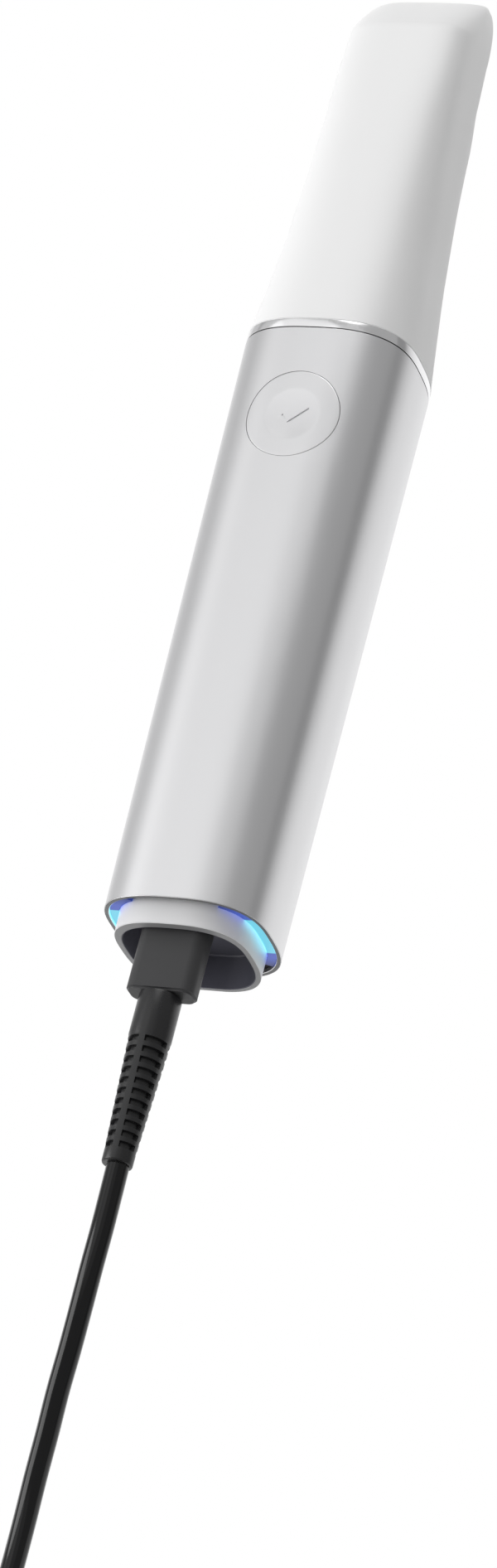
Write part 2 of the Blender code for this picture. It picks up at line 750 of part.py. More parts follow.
def make_optics(frame):
    """Imaging barrel with its sensor board, and projector barrel with its light box."""
    barrel = material("black_anodised", (0.04, 0.04, 0.045), 0.4, 0.5)
    board = material("green_board", (0.03, 0.22, 0.11), 0.5)
    rod("imaging_lens_barrel", LENS_RADIUS, LENS_LENGTH, (0, LENS_Y, LENS_HEIGHT), "Y", barrel, frame)
    centred_box(
        "image_sensor_board",
        (SENSOR_BOARD, BOARD_THICKNESS, LENS_RADIUS * 2),
        (0, LENS_Y - SEAM - BOARD_THICKNESS / 2, LENS_HEIGHT),
        board,
        frame,
    )
    rod(
        "projector_lens_barrel",
        PROJECTOR_RADIUS,
        PROJECTOR_LENGTH,
        (0, PROJECTOR_Y, PROJECTOR_HEIGHT),
        "Y",
        barrel,
        frame,
    )
    light = centred_box(
        "projector_light_box",
        (LED_BOX_WIDTH, LED_BOX_LENGTH, LED_BOX_HEIGHT),
        (0, LED_BOX_Y + LED_BOX_LENGTH / 2, PROJECTOR_HEIGHT),
        material("light_box", (0.55, 0.56, 0.58), 0.4, 0.8),
        frame,
    )
    bevel(light, LED_BOX_EDGE)


def make_chassis(frame):
    """Channel that carries the boards: a floor plate with two rails under the button."""
    end = BULKHEAD_Y - SEAM
    half = CHASSIS_WIDTH / 2
    finish = material("cast_magnesium", (0.45, 0.46, 0.48), 0.5, 0.9)
    plate_top = CHASSIS_LOW + CHASSIS_PLATE
    plate = box("inner_chassis", (-half, CHASSIS_Y, CHASSIS_LOW), (half, end, plate_top), finish, frame)
    for side in (-1, 1):
        inner = side * (half - CHASSIS_RAIL)
        outer = side * half
        rail = box(
            f"rail_block_{'left' if side < 0 else 'right'}",
            (min(inner, outer), end - CHASSIS_RAIL_LENGTH, CHASSIS_LOW),
            (max(inner, outer), end, CHASSIS_RAIL_TOP),
        )
        boolean(plate, rail, "UNION")
    for x, y in screw_places():
        name = f"boss_hole_cutter_{len(cutters.objects)}"
        start = (x, y, CHASSIS_LOW - CHASSIS_PLATE)
        boolean(plate, rod(name, SCREW_SHANK + SEAM, 3 * CHASSIS_PLATE, start, steps=16))


def screw_places():
    """Centres of the four screws of the main board."""
    inset = 2 * SCREW_HEAD
    x = MAIN_BOARD_WIDTH / 2 - inset
    return [(side * x, MAIN_BOARD_Y + at) for side in (-1, 1) for at in (inset, MAIN_BOARD_LENGTH - inset)]


def make_main_board(frame):
    """Long board on the chassis, its chips, the finned heat spreader, the motor and the screws."""
    low = CHASSIS_LOW + CHASSIS_PLATE + SEAM
    top = low + BOARD_THICKNESS
    half = MAIN_BOARD_WIDTH / 2
    board = box(
        "main_board",
        (-half, MAIN_BOARD_Y, low),
        (half, MAIN_BOARD_Y + MAIN_BOARD_LENGTH, top),
        material("green_board", (0.03, 0.22, 0.11), 0.5),
        frame,
    )
    middle = MAIN_BOARD_Y + MAIN_BOARD_LENGTH / 2
    for i, at in enumerate((-1, 0, 1)):
        chip = centred_box(
            f"chip_block_{i}",
            (CHIP_WIDTH, CHIP_LENGTH, CHIP_HEIGHT + BOARD_THICKNESS),
            (0, middle + at * CHIP_PITCH, low + (CHIP_HEIGHT + BOARD_THICKNESS) / 2),
        )
        boolean(board, chip, "UNION")
    for i, (x, y) in enumerate(screw_places()):
        hole_start = (x, y, low - BOARD_THICKNESS)
        hole = rod(f"board_hole_cutter_{i}", SCREW_SHANK + SEAM, 4 * BOARD_THICKNESS, hole_start, steps=16)
        boolean(board, hole)
        depth = top + SEAM - CHASSIS_LOW
        turned(
            f"board_screw_{i + 1}",
            [
                (0.0, depth + SCREW_HEAD_HEIGHT),
                (SCREW_HEAD_TOP, depth + SCREW_HEAD_HEIGHT),
                (SCREW_HEAD, depth + SCREW_HEAD_SIDE),
                (SCREW_HEAD, depth),
                (SCREW_SHANK, depth),
                (SCREW_SHANK, 0.0),
                (0.0, 0.0),
            ],
            (x, y, CHASSIS_LOW),
            "Z",
            material("steel_screw", (0.6, 0.6, 0.62), 0.3, 1.0),
            frame,
            16,
        )
    spreader_low = top + CHIP_HEIGHT + SEAM
    spreader_top = spreader_low + SPREADER_HEIGHT
    spreader = box(
        "heat_spreader",
        (-SPREADER_WIDTH / 2, middle - SPREADER_LENGTH / 2, spreader_low),
        (SPREADER_WIDTH / 2, middle + SPREADER_LENGTH / 2, spreader_top),
        material("bare_aluminium", (0.72, 0.73, 0.74), 0.4, 1.0),
        frame,
    )
    pitch = SPREADER_WIDTH / FIN_COUNT
    for i in range(FIN_COUNT - 1):
        x = -SPREADER_WIDTH / 2 + pitch * (i + 1)
        gap = box(
            f"fin_gap_cutter_{i}",
            (x - FIN_GAP / 2, middle - SPREADER_LENGTH, spreader_top - FIN_DEPTH),
            (x + FIN_GAP / 2, middle + SPREADER_LENGTH, spreader_top + FIN_DEPTH),
        )
        boolean(spreader, gap)
    rod(
        "vibration_motor",
        MOTOR_RADIUS,
        MOTOR_LENGTH,
        (0, middle - MOTOR_LENGTH / 2, spreader_top + SEAM + MOTOR_RADIUS),
        "Y",
        material("motor_can", (0.65, 0.66, 0.68), 0.3, 1.0),
        frame,
        24,
    )


def make_button(frame, button_axis):
    """Disc flush with the crown, a lip that keeps it in, a dish and a tick, over a switch."""
    start, end = BUTTON_Y - 2 * BUTTON_RADIUS, BUTTON_Y + 2 * BUTTON_RADIUS
    finish = material("button_polymer", (0.80, 0.80, 0.81), 0.35, 0.6)
    cap = loft("button_cap", [body_section(start), body_section(end)], finish, button_axis)
    disc = rod("button_disc_cutter", BUTTON_RADIUS, COLLAR_HEIGHT, (0, BUTTON_Y, BUTTON_UNDERSIDE), steps=48)
    boolean(cap, disc, "INTERSECT")
    inset = SHELL_WALL + BUTTON_GAP
    lip = loft("button_lip_block", [body_section(start, inset), body_section(end, inset)])
    foot = (0, BUTTON_Y, BUTTON_UNDERSIDE)
    rim = rod("button_lip_cutter", BUTTON_RADIUS + BUTTON_LIP, COLLAR_HEIGHT, foot, steps=48)
    boolean(lip, rim, "INTERSECT")
    boolean(cap, lip, "UNION")
    along = (BUTTON_Y - RIM_Y) / BODY_LENGTH
    crown = TAIL_HEIGHT + (COLLAR_HEIGHT - TAIL_HEIGHT) * along
    ball = (BUTTON_DISH_RADIUS**2 + BUTTON_DISH_DEPTH**2) / (2 * BUTTON_DISH_DEPTH)
    profile = [(0.0, 2 * BUTTON_DISH_DEPTH)]
    rows = 4
    for i in range(rows + 1):
        radius = BUTTON_DISH_RADIUS * (rows - i) / rows
        height = ball - BUTTON_DISH_DEPTH - math.sqrt(ball**2 - radius**2)
        if i == 0:
            profile.append((radius, 2 * BUTTON_DISH_DEPTH))
        profile.append((radius, height))
    dish = turned("button_dish_cutter", profile, (0, BUTTON_Y, crown), steps=32)
    boolean(cap, dish)
    strokes = (("short", TICK_SHORT, TICK_SHORT_ANGLE), ("long", TICK_LONG, TICK_LONG_ANGLE))
    for name, length, turn in strokes:
        stroke = box(
            f"tick_{name}_cutter",
            (-TICK_STROKE / 2, -TICK_STROKE / 2, -TICK_DEPTH - BUTTON_DISH_DEPTH),
            (length, TICK_STROKE / 2, BUTTON_DISH_DEPTH),
        )
        stroke.location = (TICK_CORNER[0], BUTTON_Y + TICK_CORNER[1], crown)
        stroke.rotation_euler = (0, 0, turn)
        boolean(cap, stroke)
    board_low = CHASSIS_RAIL_TOP + SEAM
    board_top = board_low + BOARD_THICKNESS
    switch_low = board_top + SEAM
    plunger_end = switch_low + SWITCH_HEIGHT + BUTTON_TRAVEL + SEAM
    stem = rod(
        "plunger_block",
        PLUNGER_RADIUS,
        BUTTON_UNDERSIDE - plunger_end + PLUNGER_ROOT,
        (0, BUTTON_Y, plunger_end),
        steps=24,
    )
    boolean(cap, stem, "UNION")
    centred_box(
        "switch_board",
        (CHASSIS_WIDTH, SWITCH_BOARD_LENGTH, BOARD_THICKNESS),
        (0, BUTTON_Y, (board_low + board_top) / 2),
        material("green_board", (0.03, 0.22, 0.11), 0.5),
        frame,
    )
    switch = centred_box(
        "tact_switch",
        (SWITCH_SIDE, SWITCH_SIDE, SWITCH_HEIGHT),
        (0, BUTTON_Y, switch_low + SWITCH_HEIGHT / 2),
        material("switch_can", (0.55, 0.55, 0.57), 0.35, 0.9),
        frame,
    )
    bevel(switch, SWITCH_EDGE)
    ring_top = BUTTON_UNDERSIDE - BUTTON_TRAVEL - SEAM - switch_low
    turned(
        "silicone_return_ring",
        [
            (SILICONE_RADIUS - SILICONE_WALL, ring_top),
            (SILICONE_RADIUS - SILICONE_WALL / 2, ring_top),
            (SILICONE_RADIUS + SILICONE_WALL, 0.0),
            (SILICONE_RADIUS - SILICONE_WALL / 2, 0.0),
        ],
        (0, BUTTON_Y, switch_low),
        "Z",
        material("silicone", (0.10, 0.10, 0.11), 0.7),
        frame,
        40,
        ring=True,
    )


def make_tail(frame):
    """White end ring, dark recess cup, light strips and their board."""
    ring_inner = RING_INSET + RING_WALL
    rings = [
        body_section(RING_END_Y + RING_CHAMFER, RING_INSET),
        body_section(RING_FRONT_Y, RING_INSET),
        body_section(RING_FRONT_Y, ring_inner),
        body_section(RING_END_Y, ring_inner),
        body_section(RING_END_Y, RING_INSET + RING_CHAMFER),
    ]
    loft("end_ring", rings, material("white_polymer", (0.90, 0.90, 0.90), 0.45), frame, hollow=True)
    cup_y = RING_END_Y + CUP_LIP
    outer = ring_inner + SEAM
    rings = [
        body_section(cup_y, outer),
        body_section(CUP_FLOOR_Y + CUP_WALL, outer + CUP_DRAFT),
    ]
    cup = loft("recess_cup", rings, material("slate_polymer", (0.09, 0.09, 0.11), 0.45), frame)
    rings = [
        body_section(cup_y - SEAM, outer + CUP_WALL),
        body_section(CUP_FLOOR_Y, outer + CUP_WALL + CUP_DRAFT),
    ]
    boolean(cup, loft("cup_hollow_cutter", rings))
    width = TONGUE_WIDTH + 2 * SEAM + 2 * SOCKET_WALL
    height = TONGUE_THICKNESS + 2 * SEAM + 2 * SOCKET_WALL
    mouth = centred_box(
        "socket_hole_cutter",
        (width + 2 * SEAM, 6 * CUP_WALL, height + 2 * SEAM),
        (0, CUP_FLOOR_Y, PLUG_HEIGHT),
    )
    boolean(cup, mouth)
    shelf_top = PLUG_HEIGHT - height / 2 - 2 * SEAM - BOARD_THICKNESS
    shelf = box(
        "cup_shelf_block",
        (-width / 2, CUP_FLOOR_Y + CUP_WALL / 2, shelf_top - 3 * CUP_WALL),
        (width / 2, CUP_FLOOR_Y + SOCKET_LENGTH, shelf_top),
    )
    boolean(cup, shelf, "UNION")
    centred_box(
        "socket_board",
        (width + 2 * SOCKET_WALL, SOCKET_LENGTH, BOARD_THICKNESS),
        (0, CUP_FLOOR_Y + CUP_WALL + SEAM + SOCKET_LENGTH / 2, shelf_top + SEAM + BOARD_THICKNESS / 2),
        material("green_board", (0.03, 0.22, 0.11), 0.5),
        frame,
    )
    socket = centred_box(
        "cable_socket",
        (width, SOCKET_LENGTH, height),
        (0, CUP_FLOOR_Y + SOCKET_LENGTH / 2, PLUG_HEIGHT),
        material("socket_steel", (0.6, 0.6, 0.62), 0.25, 1.0),
        frame,
    )
    bevel(socket, SOCKET_CORNER, 3)
    throat = centred_box(
        "socket_throat_cutter",
        (width - 2 * SOCKET_WALL, 2 * (SOCKET_LENGTH - SOCKET_WALL), height - 2 * SOCKET_WALL),
        (0, CUP_FLOOR_Y, PLUG_HEIGHT),
    )
    boolean(socket, throat)
    light_inset = SHELL_WALL + SEAM
    light_start = RIM_Y + LIGHT_SETBACK
    for side, name in ((-1, "left"), (1, "right")):
        rings = [
            body_section(light_start, light_inset),
            body_section(RING_FRONT_Y, light_inset),
            body_section(RING_FRONT_Y, light_inset + LIGHT_THICKNESS),
            body_section(light_start, light_inset + LIGHT_THICKNESS),
        ]
        finish = material("light_strip", (0.42, 0.78, 0.87), 0.4)
        strip = loft(f"light_strip_{name}", rings, finish, frame, hollow=True)
        near, far = sorted((0.0, side * TAIL_WIDTH))
        block = box(f"light_{name}_cutter", (near, RIM_Y, LIGHT_LOW), (far, RING_FRONT_Y + SEAM, LIGHT_HIGH))
        boolean(strip, block, "INTERSECT")
    board_end = LED_BOARD_Y + BOARD_THICKNESS
    rings = [
        body_section(LED_BOARD_Y, light_inset),
        body_section(board_end, light_inset),
        body_section(board_end, light_inset + LED_BOARD_WALL),
        body_section(LED_BOARD_Y, light_inset + LED_BOARD_WALL),
    ]
    loft("light_board", rings, material("green_board", (0.03, 0.22, 0.11), 0.5), frame, hollow=True)


def make_plug(prefix, axis, face_y, boot_length, boot_plain, rows):
    """Moulded plug body, its metal tongue and the slotted boot, along the empty's Y axis."""
    black = material("black_moulding", (0.03, 0.03, 0.032), 0.45)
    front = face_y + PLUG_LENGTH
    rings = []
    back = face_y + PLUG_EDGE
    for y, inset in ((face_y, PLUG_EDGE), (back, 0.0), (front - PLUG_EDGE, 0.0), (front, PLUG_EDGE)):
        rings.append(plug_section(y, inset))
    plug = loft(f"{prefix}_body", rings, black)
    tongue = box(
        f"{prefix}_tongue",
        (-TONGUE_WIDTH / 2, front + SEAM, -TONGUE_THICKNESS / 2),
        (TONGUE_WIDTH / 2, front + SEAM + TONGUE_LENGTH, TONGUE_THICKNESS / 2),
        material("socket_steel", (0.6, 0.6, 0.62), 0.25, 1.0),
    )
    bevel(tongue, TONGUE_CORNER, 3)
    boot_start = face_y - SEAM
    plain = boot_length - boot_plain
    profile = [
        (0.0, boot_length),
        (BOOT_ROOT - BOOT_EDGE, boot_length),
        (BOOT_ROOT, boot_length - BOOT_EDGE),
        (BOOT_ROOT - BOOT_EDGE / 2, plain),
        (BOOT_END, BOOT_COLLAR),
        (BOOT_END, BOOT_EDGE),
        (BOOT_END - BOOT_EDGE, 0.0),
        (0.0, 0.0),
    ]
    boot = turned(f"{prefix}_boot", profile, (0, boot_start - boot_length, 0), "Y", black, None, 16)
    slots = slot_cutter(f"{prefix}_slot_cutter", boot_start - boot_length, plain - BOOT_COLLAR, rows)
    boolean(boot, slots)
    for piece in (plug, tongue, boot, slots):
        piece.parent = axis


def plug_section(y, inset):
    """A rectangle with round corners, drawn in by an inset."""
    corner = PLUG_CORNER - inset
    middle_x, middle_z = PLUG_WIDTH / 2 - PLUG_CORNER, PLUG_THICKNESS / 2 - PLUG_CORNER
    ring = []
    for quarter, (side, up) in enumerate(((1, 1), (-1, 1), (-1, -1), (1, -1))):
        for i in range(PLUG_CORNER_STEPS + 1):
            turn = math.pi / 2 * (quarter + i / PLUG_CORNER_STEPS)
            across = side * middle_x + corner * math.cos(turn)
            ring.append((across, y, up * middle_z + corner * math.sin(turn)))
    return ring


def slot_cutter(name, end_y, slotted, rows):
    """Rows of slots between four long ribs, which lie above, below and at the sides."""
    shape = bmesh.new()
    pitch = slotted / rows
    for row in range(rows):
        at = BOOT_COLLAR + pitch * (row + 0.5)
        share = (at - BOOT_COLLAR) / slotted
        radius = BOOT_END + (BOOT_ROOT - BOOT_END) * share
        width = 2 * (radius - RIB_WIDTH / 2) * math.sqrt(0.5)
        for quarter in range(4):
            made = bmesh.ops.create_cube(shape, size=1.0)
            turn = math.pi / 2 * (quarter + 0.5)
            for vertex in made["verts"]:
                x = vertex.co.x * width
                z = radius - SLOT_DEPTH + (vertex.co.z + 0.5) * 2 * SLOT_DEPTH
                y = end_y + at + vertex.co.y * SLOT_WIDTH
                across = x * math.cos(turn) - z * math.sin(turn)
                vertex.co = (across, y, x * math.sin(turn) + z * math.cos(turn))
    mesh = bpy.data.meshes.new(name)
    shape.to_mesh(mesh)
    shape.free()
    return add(name, mesh)


def make_cable(cable_axis):
    """The free stretch of the cable, the coil as one ring, its free end on top, and its strap."""
    black = material("black_cable", (0.02, 0.02, 0.022), 0.3)
    rows = [(along, x, y, z) for along, (x, y, z) in zip(route_lengths(), ROUTE)]
    points = []
    for i in range(CORD_POINTS):
        x, y, z = through(rows, rows[-1][0] * i / (CORD_POINTS - 1))
        points.append((x * MM, y * MM, z * MM))
    cord_tube("cable", points, black, cable_axis)
    cord_tube("cable_tail", tail_points(), black, cable_axis)
    low, high = COIL_LIFT, COIL_TOP
    inner, outer = COIL_RADIUS - COIL_HALF_WIDTH, COIL_RADIUS + COIL_HALF_WIDTH
    profile = [
        (inner + COIL_EDGE, high),
        (outer - COIL_EDGE, high),
        (outer, high - COIL_EDGE),
        (outer, low + COIL_EDGE),
        (outer - COIL_EDGE, low),
        (inner + COIL_EDGE, low),
        (inner, low + COIL_EDGE),
        (inner, high - COIL_EDGE),
    ]
    rings = []
    for end_y, start in ((COIL_FAR_Y, math.pi), (COIL_NEAR_Y, 0.0)):
        for i in range(COIL_FACETS + 1):
            turn = start + math.pi * i / COIL_FACETS
            rings.append([(*on_coil(radius, turn, end_y), height) for radius, height in profile])
    loft("cable_coil", rings, black, cable_axis, hollow=True)
    make_tie(cable_axis)


def on_coil(radius, turn, end_y):
    """A place on one of the coil's round ends."""
    return (COIL_X + radius * math.cos(turn), end_y + radius * math.sin(turn))


def tail_points():
    """The free end on top of the coil: along its left side, round its far end and up to the far boot."""
    rest = COIL_TOP + SEAM + CORD_RADIUS
    points = [(*on_coil(COIL_RADIUS, math.pi, COIL_NEAR_Y), rest)]
    for i in range(COIL_FACETS + 1):
        share = i / COIL_FACETS
        rise = max(share - TAIL_RISE_START, 0.0) / (1 - TAIL_RISE_START)
        height = rest + (BOOT_ROOT - CORD_RADIUS) * rise**2 * (3 - 2 * rise)
        points.append((*on_coil(COIL_RADIUS, math.pi * (1 + share), COIL_FAR_Y), height))
    return points


def cord_tube(name, points, finish, parent):
    """A round cord as a poly curve with filled caps."""
    data = bpy.data.curves.new(name, "CURVE")
    data.dimensions = "3D"
    data.bevel_depth = CORD_RADIUS
    data.bevel_resolution = 2
    data.use_fill_caps = True
    line = data.splines.new("POLY")
    line.points.add(len(points) - 1)
    for point, place in zip(line.points, points):
        point.co = (*place, 1.0)
    cord = bpy.data.objects.new(name, data)
    parts.objects.link(cord)
    data.materials.append(finish)
    cord.parent = parent
    cord.matrix_parent_inverse = parent.matrix_world.inverted()


def make_tie(cable_axis):
    """Flat strap round the coil's left side and the free end that lies on it."""
    x = COIL_X - COIL_RADIUS
    y = (COIL_NEAR_Y + COIL_FAR_Y) / 2
    half = TIE_WIDTH / 2
    rings = []
    near, far = y - half, y + half
    for station, wall in ((near, TIE_THICKNESS), (far, TIE_THICKNESS), (far, 0.0), (near, 0.0)):
        wide = COIL_HALF_WIDTH + SEAM + wall
        narrow = CORD_RADIUS + wall / 2
        bottom = TIE_THICKNESS - wall
        shoulder = COIL_TOP + SEAM
        crest = COIL_TOP + 2 * SEAM + 2 * CORD_RADIUS + wall
        outline = [(wide, bottom), (wide, shoulder), (narrow, crest)]
        outline += [(-across, height) for across, height in reversed(outline)]
        rings.append([(x + across, station, height) for across, height in outline])
    loft("coil_tie", rings, material("tie_fabric", (0.05, 0.05, 0.055), 0.9), cable_axis, hollow=True)


def route_lengths():
    """Distance along the route to each of its points, in millimetres."""
    lengths = [0.0]
    for here, there in zip(ROUTE, ROUTE[1:]):
        lengths.append(lengths[-1] + math.dist(here, there))
    return lengths


def main():
    start_scene()
    frame = axis_empty("handpiece_frame", (0, 0, 0))
    tip_axis = axis_empty("tip_axis", (0, TIP_Y, COLLAR_HEIGHT / 2))
    button_axis = axis_empty("button_axis", (0, BUTTON_Y, BUTTON_UNDERSIDE))
    cable_axis = axis_empty("cable_axis", (0, RING_END_Y, PLUG_HEIGHT))
    make_body_shell(frame)
    make_collar_ring(frame)
    make_bulkhead(frame)
    make_snout(frame)
    make_optics(frame)
    make_chassis(frame)
    make_main_board(frame)
    make_button(frame, button_axis)
    make_tail(frame)
    make_tip(tip_axis)
    make_mirror(tip_axis)
    make_plug("plug", cable_axis, -PLUG_OUT, BOOT_LENGTH, BOOT_PLAIN, SLOT_ROWS)
    make_cable(cable_axis)
    far_height = COIL_TOP + SEAM + BOOT_ROOT
    far_axis = axis_empty("far_plug_axis", (COIL_X + COIL_RADIUS, COIL_FAR_Y, far_height))
    far_axis.parent = cable_axis
    far_axis.matrix_parent_inverse = cable_axis.matrix_world.inverted()
    far_face = FAR_BOOT_LENGTH + 2 * SEAM
    make_plug("far_plug", far_axis, far_face, FAR_BOOT_LENGTH, FAR_BOOT_PLAIN, FAR_SLOT_ROWS)


main()
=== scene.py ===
import math

import bmesh
import bpy
from mathutils import Euler, Matrix, Vector


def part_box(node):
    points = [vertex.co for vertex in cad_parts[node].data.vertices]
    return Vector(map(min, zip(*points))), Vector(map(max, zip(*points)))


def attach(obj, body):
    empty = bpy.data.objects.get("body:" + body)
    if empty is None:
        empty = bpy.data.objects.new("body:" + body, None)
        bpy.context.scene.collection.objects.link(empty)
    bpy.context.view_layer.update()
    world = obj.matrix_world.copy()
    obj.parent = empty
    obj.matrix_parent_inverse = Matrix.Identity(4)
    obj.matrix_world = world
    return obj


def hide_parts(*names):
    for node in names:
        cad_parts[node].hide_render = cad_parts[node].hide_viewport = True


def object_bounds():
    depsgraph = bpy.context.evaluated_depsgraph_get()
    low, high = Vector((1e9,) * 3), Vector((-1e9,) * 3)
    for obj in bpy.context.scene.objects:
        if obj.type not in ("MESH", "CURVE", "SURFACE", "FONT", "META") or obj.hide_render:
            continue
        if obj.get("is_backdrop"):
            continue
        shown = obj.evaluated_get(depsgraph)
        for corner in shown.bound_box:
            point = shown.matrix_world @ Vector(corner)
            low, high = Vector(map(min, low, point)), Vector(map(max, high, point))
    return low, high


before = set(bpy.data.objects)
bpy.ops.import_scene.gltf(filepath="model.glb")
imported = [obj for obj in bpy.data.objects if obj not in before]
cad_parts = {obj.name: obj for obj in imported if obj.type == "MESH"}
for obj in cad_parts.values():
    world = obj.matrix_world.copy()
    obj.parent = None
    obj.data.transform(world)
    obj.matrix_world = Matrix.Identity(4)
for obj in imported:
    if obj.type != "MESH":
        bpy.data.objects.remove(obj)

bl_info = {
    "name": "Intraoral Scanner",
    "version": (1, 0, 0),
    "blender": (4, 5, 0),
    "location": "View3D > Sidebar > Scanner",
    "description": "Builds the visible surfaces of a handheld dental scanner and its cable",
    "category": "Object",
}

MM = 0.001
# Least gap between neighbouring surfaces, and the least corner of a section.
CLEARANCE, LEAST_CORNER = 0.05 * MM, 0.05 * MM
FRAME_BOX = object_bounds()


def length(name, millimetres, description):
    """A length property whose default is given in millimetres."""
    return bpy.props.FloatProperty(
        name=name, description=description, default=millimetres * MM, unit="LENGTH", precision=5
    )


def plain(name, value, description):
    """A property without a unit."""
    return bpy.props.FloatProperty(name=name, description=description, default=value)


def whole(name, value, description):
    """A whole number."""
    return bpy.props.IntProperty(name=name, description=description, default=value, min=1)


def colour(name, value, description):
    """A colour property."""
    return bpy.props.FloatVectorProperty(
        name=name, description=description, default=value, size=3, min=0.0, max=1.0, subtype="COLOR"
    )


